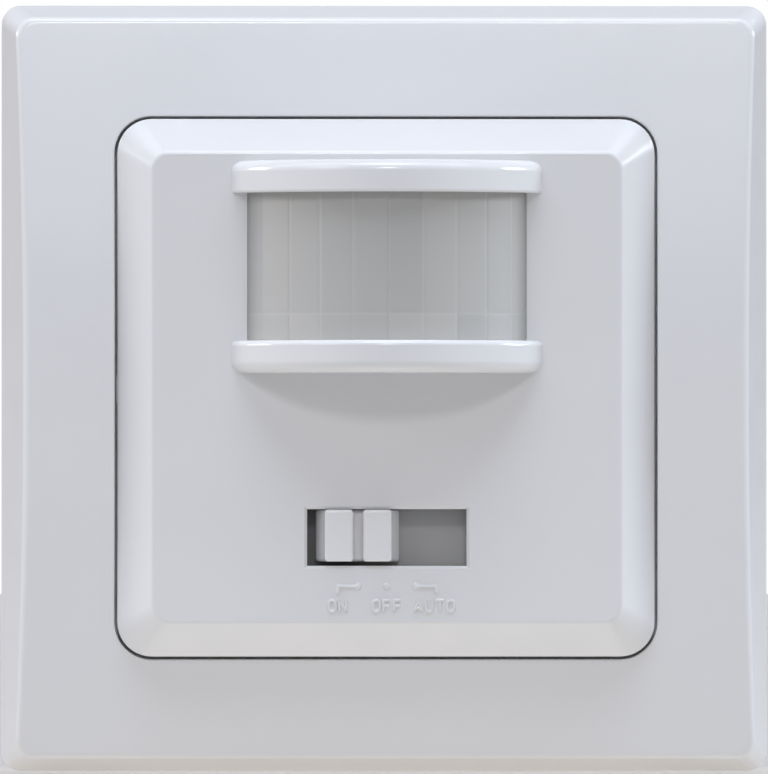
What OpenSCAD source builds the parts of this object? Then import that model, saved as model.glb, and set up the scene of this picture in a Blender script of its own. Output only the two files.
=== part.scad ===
// Motion sensor light switch for a 60 mm wall box.
// X runs to the right, Z up and Y back into the wall. The wall's surface is the plane y = 0,
// and the middle of the switch on that surface is the origin.

/* [Outer frame] */
// Width and height of the frame where it meets the wall
frame_w = 80; // [78:0.5:90]
// Height of the crowned face above the wall, halfway up
frame_mid_h = 8.4; // [8:0.1:9.5]
// Radius of the crowned face, which curves from top to bottom
frame_crown_r = 235; // [220:5:400]
// Slope of the four sides in degrees
frame_draft = 15.5; // [8:0.5:20]
// Radius of the frame's outer corners
frame_corner_r = 2; // [1.4:0.1:4]
// Wall of the frame
frame_wall = 1.8; // [1.2:0.1:2.2]
// Gap between the frame and the front cover
frame_gap = 0.25; // [0.15:0.05:0.5]
// Thickness of the collar round the frame's opening
collar_wall = 1.4; // [1:0.1:1.8]
// Width of each tongue that plugs the frame into the bracket
tongue_w = 8; // [5:0.5:10]
// Distance of each tongue from the middle of its side
tongue_offset = 16; // [12:0.5:19]

/* [Front cover] */
// Width and height of the front cover
cover_w = 56; // [54:0.25:57]
// Height of the cover's flat face above the wall
cover_face_h = 11; // [10.5:0.1:12]
// Width of the 45 degree bevel round the face
cover_bevel = 3.55; // [2.5:0.05:4]
// Corner radius of the cover
cover_corner_r = 3.6; // [2.5:0.1:5]
// Corner radius of the flat face
face_corner_r = 1.9; // [1:0.1:3]
// Thickness of the flat face
face_wall = 1.8; // [1.4:0.1:2.2]
// Thickness of the cover's skirt
skirt_wall = 1.6; // [1.2:0.1:2]
// Width of each clip that holds the cover to the housing
clip_w = 7; // [4:0.5:8]
// Thickness of each clip
clip_t = 1.4; // [1:0.1:1.6]
// Distance of each clip from the middle of its side
clip_offset = 13; // [10:0.5:14]

/* [Lens] */
// Outer radius of the curved lens
lens_r = 17.2; // [15.5:0.1:20]
// Width of the lens where it leaves the face
lens_w = 29; // [24:0.5:30]
// Visible height of the lens
lens_h = 15.35; // [12:0.25:16]
// Height of the lens's middle above the switch's middle
lens_z = 12.55; // [11.5:0.05:12.8]
// Thickness of the lens
lens_t = 0.8; // [0.6:0.1:1.2]
// How far the lens edges reach into the bars
lens_groove = 0.6; // [0.4:0.1:1]
// How far the lens flanges reach sideways behind the face
lens_flange = 2; // [1.5:0.1:2.5]
// Height of the bar above and below the lens
bar_h = 3.37; // [2.5:0.05:3.6]
// How far the bars stand out past the lens
bar_overhang = 1.45; // [0.8:0.05:2]
// Thickness of the lens retainer
retainer_t = 1.2; // [0.8:0.1:1.4]
// Width of the retainer's rails round the lens
retainer_rail = 3; // [2.8:0.1:3.2]
// Radius of the pegs that hold the retainer
peg_r = 0.8; // [0.6:0.1:1]

/* [Slide switch] */
// Width of the knob's slot
slot_w = 16.6; // [15.5:0.1:18]
// Height of the knob's slot
slot_h = 5.9; // [5.7:0.1:6.5]
// Height of the slot's middle above the switch's middle
slot_z = -15.6; // [-16:0.1:-15]
// Depth of the slot from the face to the knob's flange
slot_depth = 3.2; // [2.8:0.1:3.6]
// Distance between the knob's three positions
knob_step = 3; // [2.5:0.1:3.3]
// Width of the knob at its foot
knob_w = 8.7; // [8.2:0.1:9.4]
// Height of the knob
knob_h = 5.4; // [4.6:0.1:5.5]
// Width of each of the knob's two ribs
knob_rib_w = 2.9; // [2.4:0.1:3]
// Width of the groove between the ribs
knob_groove_w = 1.1; // [0.8:0.1:1.4]
// How far the ribs stand out past the face
knob_proud = 0.6; // [0.3:0.1:1.5]
// Thickness of the knob's dust flange
knob_flange_t = 1; // [0.8:0.1:1.2]
// How far the flange reaches past the slot
knob_flange_lap = 1.2; // [1:0.1:1.6]
// Width of the lever that the knob drives
lever_w = 3; // [2.4:0.1:3.4]
// Height of the lever
lever_h = 2.4; // [2:0.1:2.6]
// Wall of the knob's socket round the lever
socket_wall = 1.2; // [0.8:0.1:1.5]
// Width of the sliding carriage inside the switch
carriage_w = 7.4; // [6:0.1:8]
// Height of the slide switch
switch_h = 6.4; // [6:0.1:6.6]
// How far the slide switch stands off its board
switch_rise = 3.6; // [3.2:0.1:4]
// Metal thickness of the slide switch's shell
switch_shell_t = 0.4; // [0.3:0.05:0.6]

/* [Mounting bracket] */
// Thickness of the bracket
bracket_t = 1; // [0.8:0.1:1.5]
// Distance between opposite box screws
box_screw_spacing = 60; // [58:0.1:61]
// Width of the slots for the box screws
box_slot_w = 3.5; // [3.2:0.1:4.2]
// Length of the slots for the box screws
box_slot_l = 5.5; // [4.5:0.1:6.5]
// Diameter of the box screws' heads
box_screw_head_d = 6.4; // [5.5:0.1:7]
// Gap between the frame's inside and the bracket's edge
bracket_gap = 0.6; // [0.4:0.1:1]
// Corner radius of the bracket
bracket_corner_r = 3; // [2:0.5:5]
// Distance of each bracket screw from the housing's rounded corner
bracket_screw_margin = 2.1; // [1.8:0.1:2.4]
// Thread radius of the bracket screws
bracket_screw_r = 1.25; // [1:0.05:1.5]

/* [Rear housing] */
// Width and height of the housing
housing_w = 46; // [44.5:0.5:47]
// Radius that trims the housing's corners, to enter a round box
housing_r = 28; // [27.5:0.1:28.5]
// Wall of the housing
housing_wall = 1.6; // [1.2:0.1:1.8]
// Depth of the housing behind the wall
housing_depth = 21.7; // [21.4:0.1:26]
// Thickness of the flange in front of the bracket
flange_t = 2; // [1.5:0.1:2.4]
// Radius of the board pillars
pillar_r = 2.3; // [2:0.1:2.4]
// Thread radius of the board screws
board_screw_r = 0.9; // [0.7:0.05:1.1]
// Width of the vent slots in the top wall
vent_w = 2; // [1:0.1:2.4]
// Length of the vent slots
vent_l = 9; // [5:0.5:12]

/* [Boards] */
// Thickness of both circuit boards
board_t = 1.6; // [1:0.1:1.6]
// Depth of the sensor board's front behind the wall
sensor_board_y = 0.5; // [0.3:0.1:0.8]
// Depth of the power board's front behind the wall
power_board_y = 17.8; // [17.6:0.1:18]
// Radius of the infrared sensor's can
pyro_r = 4.15; // [3.6:0.05:4.4]
// Height of the infrared sensor's can
pyro_h = 4.2; // [3.6:0.1:5]
// Metal thickness of the can
pyro_t = 0.3; // [0.2:0.05:0.5]
// Width of the infrared sensor's window
pyro_window_w = 4; // [3:0.1:4.6]
// Height of the infrared sensor's window
pyro_window_h = 3; // [2.4:0.1:3.6]
// Radius of the light sensor
ldr_r = 2.5; // [2:0.1:2.7]
// Distance of the light sensor to the right of the lens's middle
ldr_x = 9.5; // [8.5:0.1:10.5]
// Distance of each trimmer's middle from the edge of its board
trimmer_edge = 6.4; // [6.2:0.1:6.8]
// Height of the trimmers above the middle
trimmer_z = -3; // [-4:0.1:-2]
// Width of each trimmer
trimmer_w = 6.6; // [6:0.1:7]
// Radius of each trimmer's rotor
rotor_r = 2.5; // [2:0.1:2.6]
// Height of the control chip above the middle
chip_z = -3; // [-3.5:0.1:-2]
// Distance of the board link from the edge of the boards
link_edge = 2.3; // [2:0.1:2.5]

/* [Power parts] */
// Width of the relay
relay_w = 10.2; // [8:0.2:10.6]
// Height of the relay
relay_h = 18.4; // [15:0.2:18.6]
// How far the relay stands off its board
relay_rise = 14.2; // [10:0.1:14.5]
// Height of the relay's middle above the switch's middle
relay_z = 4.2; // [3.8:0.1:4.6]
// Width of the film capacitor
film_w = 13; // [10:0.5:13]
// Thickness of the film capacitor
film_t = 6; // [4:0.1:6]
// How far the film capacitor stands off its board
film_rise = 12; // [8:0.5:14]
// Radius of the smoothing capacitor
smoothing_r = 4; // [3:0.1:4]
// How far the smoothing capacitor stands off its board
smoothing_rise = 11.5; // [8:0.5:14]
// Radius of the surge varistor
varistor_r = 3.5; // [2.5:0.1:3.5]
// Distance between the wire terminals
pole_pitch = 7.5; // [7:0.1:7.6]
// Depth of the terminal block behind its board
terminal_depth = 9; // [8.6:0.1:11]
// Height of the terminal block
terminal_h = 10; // [9.6:0.1:10.4]
// Distance of the terminal block from the inside of the housing's lower wall
terminal_inset = 1; // [0.6:0.1:1.6]
// Radius of the wire entries
wire_r = 1.5; // [1.2:0.05:1.6]

/* [Hidden] */
$fn = 64;
HULL_FN = 32;
EPS = 0.01;
// Clearances
tongue_clear = 0.15;
seat_clear = 0.2;
skirt_clear = 0.3;
run_clear = 0.2;
snug_clear = 0.05;
board_clear = 0.3;
screw_clear = 0.15;
part_clear = 0.3;
cut_over = 1;

// Levels of the front pieces along Y
face_y = -cover_face_h;
face_in_y = face_y + face_wall;
rim_y = face_y + cover_bevel;
bracket_y = -bracket_t;
skirt_back_y = bracket_y - seat_clear;
collar_back_y = bracket_y - skirt_clear;
flange_y = bracket_y - flange_t;
slot_back_y = face_y + slot_depth;
knob_flange_y = slot_back_y + run_clear;
knob_back_y = knob_flange_y + knob_flange_t;
track_y = knob_back_y + run_clear;

// Frame and cover
draft_tan = tan(frame_draft);
opening_w = cover_w + 2 * frame_gap;
opening_r = cover_corner_r + frame_gap;
collar_mid = opening_w / 2 + collar_wall / 2;
face_w = cover_w - 2 * cover_bevel;
bevel_share = tan(22.5);
skirt_in_w = cover_w - 2 * skirt_wall;
face_in_w = face_w - 2 * face_wall * bevel_share;
rim_in_y = rim_y + skirt_wall * bevel_share;
clip_front_y = rim_in_y;
clip_mid = skirt_in_w / 2 - clip_t / 2;
flange_w = skirt_in_w - 2 * skirt_clear;
bracket_w = frame_w - 2 * (frame_wall + bracket_t * draft_tan + bracket_gap);
bracket_screw_offset = (housing_r + bracket_screw_margin) / sqrt(2);
bracket_head_r = 2.3;
bracket_head_t = 1.4;
bracket_screw_tip_y = 1.5;
head_room = 0.5;
relief_d = 3.6;
relief_w = box_screw_head_d + 2 * head_room;
relief_front_y = bracket_y - relief_d;
relief_out = box_screw_spacing / 2 + relief_w / 2;

// Lens and its bars
lens_axis_y = face_y + sqrt(lens_r * lens_r - lens_w * lens_w / 4);
lens_in_r = lens_r - lens_t;
leg_in_x = sqrt(lens_in_r * lens_in_r - pow(lens_axis_y - face_y, 2));
bar_r = lens_r + bar_overhang;
lens_flange_y = face_in_y + snug_clear;
retainer_y = lens_flange_y + lens_t + snug_clear;
retainer_edge = 1;
retainer_corner_r = 1;
retainer_w = lens_w + 2 * (lens_flange + retainer_edge);
retainer_h = lens_h + 2 * retainer_rail;
peg_out = 0.6;
peg_x = lens_w / 2 + peg_out;
peg_z = lens_h / 2 + retainer_rail / 2;
peg_head_lap = 0.5;
peg_head_r = peg_r + peg_head_lap;
peg_head_t = 0.5;

// Knob, lever and slide switch
knob_x = -knob_step;
knob_front_y = face_y - knob_proud;
knob_ribs_w = 2 * knob_rib_w + knob_groove_w;
knob_groove_d = 0.7;
knob_shoulder_d = 0.4;
knob_foot_d = 1.4;
knob_groove_y = face_y + knob_groove_d;
knob_shoulder_y = face_y + knob_shoulder_d;
knob_foot_y = face_y + knob_foot_d;
knob_flange_w = slot_w + 2 * knob_step + 2 * knob_flange_lap;
knob_flange_h = slot_h + 2 * knob_flange_lap;
socket_depth = 2.6;
socket_back_y = knob_back_y + socket_depth;
lever_tip_y = knob_back_y + part_clear;
rail_t = 1.2;
rail_lap = 0.9;
switch_y = sensor_board_y - switch_rise;
switch_w = carriage_w + 2 * knob_step + 2 * run_clear + 2 * switch_shell_t;
switch_base_t = 1.2;
carriage_t = switch_rise - switch_shell_t - switch_base_t - 2 * snug_clear;

// Rear housing and boards
poles = [-1, 0, 1];
terminal_end_wall = 0.3;
terminal_w = len(poles) * pole_pitch + 2 * terminal_end_wall;
housing_in_w = housing_w - 2 * housing_wall;
housing_in_r = housing_r - housing_wall;
back_in_y = housing_depth - housing_wall;
sensor_board_back_y = sensor_board_y + board_t;
power_board_back_y = power_board_y + board_t;
board_w = housing_in_w - 2 * board_clear;
board_r = housing_in_r - board_clear;
shoulder_lip = 0.6;
shoulder_r = pillar_r + shoulder_lip;
pillar_hole_r = pillar_r + board_clear;
pillar_edge = 2;
pillar_rim = 1.2;
terminal_edge = 0.3;
pillar_x = terminal_w / 2 + part_clear + terminal_edge + shoulder_r;
pillar_reach = board_r - pillar_hole_r - pillar_rim;
pillar_z = min(board_w / 2 - pillar_hole_r - pillar_edge,
    sqrt(pillar_reach * pillar_reach - pillar_x * pillar_x));
board_head_r = 1.9;
board_head_t = 1.2;
board_screw_bite = 6;
pillar_points = [for (x = [-1, 1], z = [-1, 1]) [x * pillar_x, z * pillar_z]];
bracket_screw_points = [for (x = [-1, 1], z = [-1, 1]) [x, z] * bracket_screw_offset];
pilot_spare = 2;
vent_pitch = 5;
vent_front_y = 5;

// Parts on the sensor board
can_lip = 0.45;
can_lip_t = 0.5;
window_lap = 0.4;
window_t = 0.4;
header_t = 0.8;
header_lead_r = 0.22;
header_lead_l = 0.8;
header_lead_circle_r = 2.5;
ldr_stand = 2.4;
ldr_t = 1.8;
ldr_flat = 0.85;
ldr_lead_x = 1.25;
trimmer_x = board_w / 2 - trimmer_edge;
trimmer_rise = 2.6;
trimmer_corner_r = 0.6;
rotor_floor = 1;
rotor_proud = 0.5;
pointer_rim = 0.4;
chip_pins = 7;
pin_pitch = 2.54;
chip_end = 0.77;
chip_body_w = (chip_pins - 1) * pin_pitch + 2 * chip_end;
chip_body_h = 6.4;
chip_body_t = 3.2;
chip_gap = 0.5;
chip_notch_r = 0.8;
chip_leg_w = 0.6;
chip_leg_t = 0.4;
timing_cap_r = 2;
timing_cap_h = 5.4;
timing_cap_x = 13;
timing_cap_z = 6.5;
timing_cap_points = [for (side = [-1, 1]) [side * timing_cap_x, timing_cap_z]];
smd_w = 2;
smd_h = 1.25;
smd_t = 0.55;
smd_pitch = 4;
smd_top_z = 4;
smd_low_z = -9;
smd_points = [for (i = [-1.5 : 1.5], z = [smd_top_z, smd_low_z]) [i * smd_pitch, z]];
link_pin_count = 6;
link_l = link_pin_count * pin_pitch;
link_w = 2.5;
link_base_t = 2.5;
link_socket_t = 8.5;
link_socket_floor = 2;
link_pin_w = 0.64;
link_pin_stub = 1;
link_pin_dip = 4;
link_x = board_w / 2 - link_edge;

// Parts on the power board
power_gap = 0.5;
lead_r = 0.3;
lead_bend_r = 0.36;
lead_reach = 0.9;
lead_gap = 0.4;
relay_right_x = -1.2;
relay_x = relay_right_x - relay_w / 2;
relay_corner_r = 0.6;
film_x = relay_right_x + power_gap + film_w / 2;
film_z = relay_z + relay_h / 2 - film_t / 2;
film_corner_r = 0.5;
smoothing_gap = 1.35;
smoothing_x = link_x - link_w / 2 - smoothing_gap - smoothing_r;
smoothing_z = -0.5;
sleeve_groove_r = 0.5;
sleeve_groove_y = 1.6;
varistor_x = 4.2;
varistor_t = 3;
varistor_gap = 2;
varistor_z = film_z - film_t / 2 - varistor_r - power_gap;
fuse_x = 9;
fuse_gap = 0.8;
fuse_l = 8;
fuse_r = 1.6;
fuse_z = smoothing_z - smoothing_r - fuse_gap - fuse_r;
diode_l = 5;
diode_r = 1.3;
diode_pitch = 3.5;
diode_first_x = -11;
diode_z = relay_z - relay_h / 2 - power_gap - diode_l / 2 - lead_reach - lead_bend_r;
diode_points = [for (i = [0 : 3]) [diode_first_x + i * diode_pitch, diode_z]];
resistor_l = 5;
resistor_r = 1.1;
resistor_pitch = 3.4;
resistor_first_x = 3;
resistor_z = -12.6;
resistor_points = [for (i = [0, 1]) [resistor_first_x + i * resistor_pitch, resistor_z]];
transistor_x = 10.2;
transistor_z = -11;
transistor_r = 2.3;
transistor_h = 4.8;
transistor_stand = 2.5;
transistor_lead_pitch = 1.27;
transistor_lead_z = 0.4;
transistor_flat = 0.6 * transistor_r;
terminal_z = terminal_inset + terminal_h / 2 - housing_in_w / 2;
terminal_back_y = power_board_back_y + terminal_depth;
terminal_low_z = terminal_z - terminal_h / 2;
clamp_w = 5;
clamp_h = 5;
clamp_t = 6.8;
clamp_shift = 0.6;
clamp_z = terminal_z + clamp_shift;
clamp_back_y = power_board_back_y + clamp_t;
wire_depth = 4.4;
wire_y = power_board_back_y + wire_depth;
wire_spare = 0.2;
terminal_screw_r = 1.2;
terminal_head_r = 1.9;
terminal_head_t = 1.5;
terminal_well_r = terminal_head_r + screw_clear;
driver_slot_w = 0.6;
driver_slot_d = 0.7;

// A flat outline in X and Z, drawn from y_front back to y_back
module slab(y_front, y_back) {
    translate([0, y_back, 0]) rotate([90, 0, 0]) linear_extrude(y_back - y_front) children();
}

// A rod along Y
module rod(r, y_front, y_back) {
    translate([0, y_back, 0]) rotate([90, 0, 0]) cylinder(r = r, h = y_back - y_front);
}

// A box given by its size in X and Z about the middle, and its two levels along Y
module block(w, h, y_front, y_back) {
    translate([-w / 2, y_front, -h / 2]) cube([w, y_back - y_front, h]);
}

module rounded_rect(w, h, r) {
    square([w, h - 2 * r], center = true);
    square([w - 2 * r, h], center = true);
    for (x = [-1, 1], y = [-1, 1]) translate([x * (w / 2 - r), y * (h / 2 - r)]) circle(r);
}

module rounded_square(w, r) {
    rounded_rect(w, w, r);
}

// Square outline that narrows towards the front, with the draft of the frame's sides
module drafted_block(w, r, y_front, y_back) {
    hull() {
        for (y = [y_front + EPS, y_back])
            slab(y - EPS, y) rounded_square(w + 2 * y * draft_tan, r, $fn = HULL_FN);
    }
}

// Solid bevelled block between a rim outline and a face outline
module bevel_block(rim, rim_r, face, face_r, y_rim, y_face) {
    hull() {
        slab(y_rim - EPS, y_rim) rounded_square(rim, rim_r, $fn = HULL_FN);
        slab(y_face, y_face + EPS) rounded_square(face, face_r, $fn = HULL_FN);
    }
}

// Round column along X that gives the frame's crowned face, or its inside
module crown(inset) {
    translate([-frame_w, frame_crown_r - frame_mid_h, 0])
        rotate([0, 90, 0]) cylinder(r = frame_crown_r - inset, h = 2 * frame_w, $fn = 256);
}

// Copies on the four sides, each a quarter turn about Y
module four_sides() {
    for (a = [0 : 90 : 270]) rotate([0, a, 0]) children();
}

// Two copies, left and right of the middle of a side
module mirrored_pair(offset) {
    for (x = [-1, 1]) translate([x * offset, 0, 0]) children();
}

// Room for the heads of the box screws under the frame and the cover
module screw_reliefs() {
    four_sides() translate([-relief_w / 2, relief_front_y, flange_w / 2])
        cube([relief_w, -relief_front_y, relief_out - flange_w / 2]);
}

module outer_frame() {
    color("whitesmoke") {
        difference() {
            intersection() {
                union() {
                    difference() {
                        drafted_block(frame_w, frame_corner_r, -frame_mid_h - cut_over, 0);
                        intersection() {
                            drafted_block(frame_w - 2 * frame_wall, frame_corner_r / 2,
                                -frame_mid_h, cut_over);
                            crown(frame_wall);
                        }
                    }
                    slab(-frame_mid_h, collar_back_y)
                        rounded_square(opening_w + 2 * collar_wall, opening_r + collar_wall);
                }
                crown(0);
            }
            slab(-frame_mid_h - cut_over, cut_over) rounded_square(opening_w, opening_r);
            screw_reliefs();
        }
        four_sides() mirrored_pair(tongue_offset) translate([0, 0, collar_mid])
            block(tongue_w, collar_wall, collar_back_y - cut_over, -tongue_clear);
    }
}

// One of the two curved bars, from its lower side up
module lens_bar(z_low) {
    intersection() {
        translate([0, lens_axis_y, z_low]) cylinder(r = bar_r, h = bar_h, $fn = 128);
        translate([0, 0, z_low + bar_h / 2])
            block(2 * bar_r, bar_h, lens_axis_y - bar_r, face_in_y);
    }
}

// Groove in the bars for the upper and lower edges of the lens
module lens_groove_ring() {
    intersection() {
        translate([0, lens_axis_y, lens_z - lens_h / 2 - lens_groove]) difference() {
            cylinder(r = lens_r + snug_clear, h = lens_h + 2 * lens_groove, $fn = 128);
            translate([0, 0, -cut_over])
                cylinder(r = lens_in_r - snug_clear, h = lens_h + 2 * lens_groove + 2 * cut_over, $fn = 128);
        }
        translate([0, 0, lens_z])
            block(lens_w + 2 * lens_t, 2 * lens_h, lens_axis_y - bar_r, face_y);
    }
}

// Tracks behind the slot that carry the knob's flange
module knob_tracks() {
    track_l = slot_w + 2 * knob_flange_lap;
    rail_z = knob_flange_h / 2 + run_clear;
    for (side = [-1, 1]) {
        translate([0, 0, slot_z + side * (rail_z + rail_t / 2)])
            block(track_l, rail_t, face_in_y - EPS, track_y + rail_t);
        translate([0, 0, slot_z + side * (rail_z + rail_t - (rail_t + rail_lap) / 2)])
            block(track_l, rail_t + rail_lap, track_y, track_y + rail_t);
    }
}

module retainer_pegs() {
    for (x = [-1, 1], z = [-1, 1]) translate([x * peg_x, 0, lens_z + z * peg_z]) {
        rod(peg_r, face_in_y - EPS, retainer_y + retainer_t);
        rod(peg_head_r, retainer_y + retainer_t, retainer_y + retainer_t + peg_head_t);
    }
}

module cover_shell() {
    difference() {
        union() {
            bevel_block(cover_w, cover_corner_r, face_w, face_corner_r, rim_y, face_y);
            slab(rim_y - EPS, skirt_back_y) rounded_square(cover_w, cover_corner_r);
        }
        bevel_block(skirt_in_w, cover_corner_r - skirt_wall, face_in_w, face_corner_r / 2,
            rim_in_y, face_in_y);
        slab(rim_in_y - EPS, 0) rounded_square(skirt_in_w, cover_corner_r - skirt_wall);
        screw_reliefs();
    }
}

module front_cover() {
    color("white") difference() {
        union() {
            cover_shell();
            lens_bar(lens_z + lens_h / 2);
            lens_bar(lens_z - lens_h / 2 - bar_h);
            translate([0, 0, slot_z])
                block(slot_w + 2 * knob_flange_lap, knob_flange_h, face_in_y - EPS, slot_back_y);
            knob_tracks();
            retainer_pegs();
            four_sides() mirrored_pair(clip_offset) translate([0, 0, clip_mid])
                block(clip_w, clip_t + EPS, clip_front_y, skirt_back_y);
        }
        translate([0, 0, lens_z])
            block(lens_w + 2 * snug_clear, lens_h, face_y - cut_over, face_in_y + cut_over);
        lens_groove_ring();
        translate([0, 0, slot_z]) block(slot_w, slot_h, face_y - cut_over, slot_back_y + cut_over);
    }
}

module fresnel_lens() {
    leg_h = lens_h - 2 * snug_clear;
    color("gainsboro") {
        intersection() {
            translate([0, lens_axis_y, lens_z - lens_h / 2 - lens_groove + snug_clear]) difference() {
                cylinder(r = lens_r, h = lens_h + 2 * lens_groove - 2 * snug_clear, $fn = 128);
                translate([0, 0, -cut_over])
                    cylinder(r = lens_in_r, h = 2 * lens_h, $fn = 128);
            }
            translate([0, 0, lens_z])
                block(lens_w, 2 * lens_h, lens_axis_y - lens_r, face_y);
        }
        for (side = [0, 1]) mirror([side, 0, 0]) translate([0, 0, lens_z - leg_h / 2]) {
            translate([leg_in_x, face_y, 0])
                cube([lens_w / 2 - leg_in_x, lens_flange_y + lens_t - face_y, leg_h]);
            translate([leg_in_x, lens_flange_y, 0])
                cube([lens_w / 2 - leg_in_x + lens_flange, lens_t, leg_h]);
        }
    }
}

module lens_retainer() {
    color("dimgray") difference() {
        translate([0, 0, lens_z]) slab(retainer_y, retainer_y + retainer_t)
            rounded_rect(retainer_w, retainer_h, retainer_corner_r);
        translate([0, 0, lens_z])
            block(2 * leg_in_x, lens_h, retainer_y - cut_over, retainer_y + retainer_t + cut_over);
        for (x = [-1, 1], z = [-1, 1]) translate([x * peg_x, 0, lens_z + z * peg_z])
            rod(peg_r + snug_clear, retainer_y - cut_over, retainer_y + retainer_t + cut_over);
    }
}

// Section of the knob seen from above, with sloping flanks and two ribs
module knob_section() {
    half = knob_w / 2;
    rib_out = knob_ribs_w / 2;
    rib_in = knob_groove_w / 2;
    polygon([
        [-half, knob_flange_y], [-half, knob_foot_y], [-rib_out, knob_shoulder_y],
        [-rib_out, knob_front_y], [-rib_in, knob_front_y], [-rib_in, knob_groove_y],
        [rib_in, knob_groove_y], [rib_in, knob_front_y], [rib_out, knob_front_y],
        [rib_out, knob_shoulder_y], [half, knob_foot_y], [half, knob_flange_y]
    ]);
}

module switch_knob() {
    socket_w = lever_w + 2 * snug_clear;
    socket_h = lever_h + 2 * snug_clear;
    color("ghostwhite") translate([knob_x, 0, slot_z]) difference() {
        union() {
            translate([0, 0, -knob_h / 2]) linear_extrude(knob_h) knob_section();
            block(knob_flange_w, knob_flange_h, knob_flange_y, knob_back_y);
            block(socket_w + 2 * socket_wall, socket_h + 2 * socket_wall, knob_back_y - EPS, socket_back_y);
        }
        block(socket_w, socket_h, knob_back_y, socket_back_y + cut_over);
    }
}

// Outline of the housing, a square with its corners trimmed by a circle
module trimmed_prism(w, r, y_front, y_back) {
    intersection() {
        block(w, w, y_front, y_back);
        rod(r, y_front, y_back, $fn = 128);
    }
}

module box_slot() {
    slot_run = box_slot_l - box_slot_w;
    translate([0, 0, box_screw_spacing / 2]) {
        block(box_slot_w, slot_run, bracket_y - cut_over, cut_over);
        for (end = [-1, 1]) translate([0, 0, end * slot_run / 2])
            rod(box_slot_w / 2, bracket_y - cut_over, cut_over);
    }
}

module mounting_bracket() {
    color("silver") difference() {
        slab(bracket_y, 0) rounded_square(bracket_w, bracket_corner_r);
        trimmed_prism(housing_w + 2 * part_clear, housing_r + part_clear, bracket_y - cut_over, cut_over);
        four_sides() {
            box_slot();
            mirrored_pair(tongue_offset) translate([0, 0, collar_mid])
                block(tongue_w + 2 * tongue_clear, collar_wall + 2 * tongue_clear,
                    bracket_y - cut_over, cut_over);
        }
        for (p = bracket_screw_points) translate([p[0], 0, p[1]])
            rod(bracket_screw_r + snug_clear, bracket_y - cut_over, cut_over);
    }
}

module housing_flange() {
    difference() {
        slab(flange_y, bracket_y) rounded_square(flange_w, cover_corner_r - skirt_wall);
        four_sides() mirrored_pair(clip_offset) translate([0, 0, clip_mid])
            block(clip_w + 2 * tongue_clear, clip_t + 2 * tongue_clear, flange_y - cut_over, 0);
        for (p = bracket_screw_points) translate([p[0], 0, p[1]])
            rod(bracket_screw_r + screw_clear, flange_y - cut_over, cut_over);
    }
}

module board_pillars() {
    for (p = pillar_points) translate([p[0], 0, p[1]]) {
        rod(shoulder_r, power_board_back_y, back_in_y + EPS);
        rod(pillar_r, sensor_board_back_y, back_in_y + EPS);
    }
}

module rear_housing() {
    pilot_back_y = sensor_board_back_y + board_screw_bite + pilot_spare;
    color("gainsboro") difference() {
        union() {
            difference() {
                union() {
                    housing_flange();
                    trimmed_prism(housing_w, housing_r, bracket_y - EPS, housing_depth);
                }
                trimmed_prism(housing_in_w, housing_in_r, flange_y - cut_over, back_in_y);
            }
            board_pillars();
        }
        for (p = pillar_points) translate([p[0], 0, p[1]])
            rod(board_screw_r + snug_clear, sensor_board_back_y - cut_over, pilot_back_y);
        translate([0, 0, terminal_z])
            block(terminal_w + 2 * part_clear, terminal_h + 2 * part_clear,
                back_in_y - cut_over, housing_depth + cut_over);
        for (i = [-2 : 2]) translate([i * vent_pitch, vent_front_y + vent_l / 2, housing_w / 2])
            cube([vent_w, vent_l, 4 * housing_wall], center = true);
    }
}

// Pan head screw pointing back, with a cross in its head
module pan_screw(r, head_r, head_t, head_y, tip_y) {
    difference() {
        union() {
            rod(head_r, head_y - head_t, head_y);
            rod(r, head_y - EPS, tip_y);
        }
        for (a = [0, 90]) rotate([0, a, 0])
            block(1.3 * head_r, driver_slot_w, head_y - head_t - cut_over, head_y - head_t + driver_slot_d);
    }
}

module bracket_screws() {
    color("darkgray") for (p = bracket_screw_points) translate([p[0], 0, p[1]])
        pan_screw(bracket_screw_r, bracket_head_r, bracket_head_t, flange_y, bracket_screw_tip_y);
}

module board_screws() {
    tip_y = sensor_board_back_y + board_screw_bite;
    color("darkgray") for (p = pillar_points) translate([p[0], 0, p[1]])
        pan_screw(board_screw_r, board_head_r, board_head_t, sensor_board_y, tip_y);
}

module sensor_board() {
    color("darkgreen") difference() {
        trimmed_prism(board_w, board_r, sensor_board_y, sensor_board_back_y);
        for (p = pillar_points) translate([p[0], 0, p[1]])
            rod(board_screw_r + screw_clear, sensor_board_y - cut_over, sensor_board_back_y + cut_over);
        link_pin_holes(sensor_board_y - cut_over, sensor_board_back_y + cut_over);
    }
}

// Can of the infrared sensor, a cup with a window in its front
module pyro_can() {
    front_y = sensor_board_y - pyro_h;
    color("silver") translate([0, 0, lens_z]) difference() {
        union() {
            rod(pyro_r, front_y, sensor_board_y);
            rod(pyro_r + can_lip, sensor_board_y - can_lip_t, sensor_board_y);
        }
        rod(pyro_r - pyro_t, front_y + pyro_t, sensor_board_y + cut_over);
        block(pyro_window_w, pyro_window_h, front_y - cut_over, front_y + cut_over);
    }
}

module pyro_window() {
    front_y = sensor_board_y - pyro_h + pyro_t;
    color("dimgray") translate([0, 0, lens_z])
        block(pyro_window_w + 2 * window_lap, pyro_window_h + 2 * window_lap, front_y, front_y + window_t);
}

module pyro_header() {
    header_y = sensor_board_y - header_t;
    color("gray") translate([0, 0, lens_z]) {
        rod(pyro_r - pyro_t - snug_clear, header_y, sensor_board_y);
        for (a = [45, 135, 225]) rotate([0, a, 0]) translate([header_lead_circle_r, 0, 0])
            rod(header_lead_r, header_y - header_lead_l, header_y + EPS);
    }
}

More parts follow.
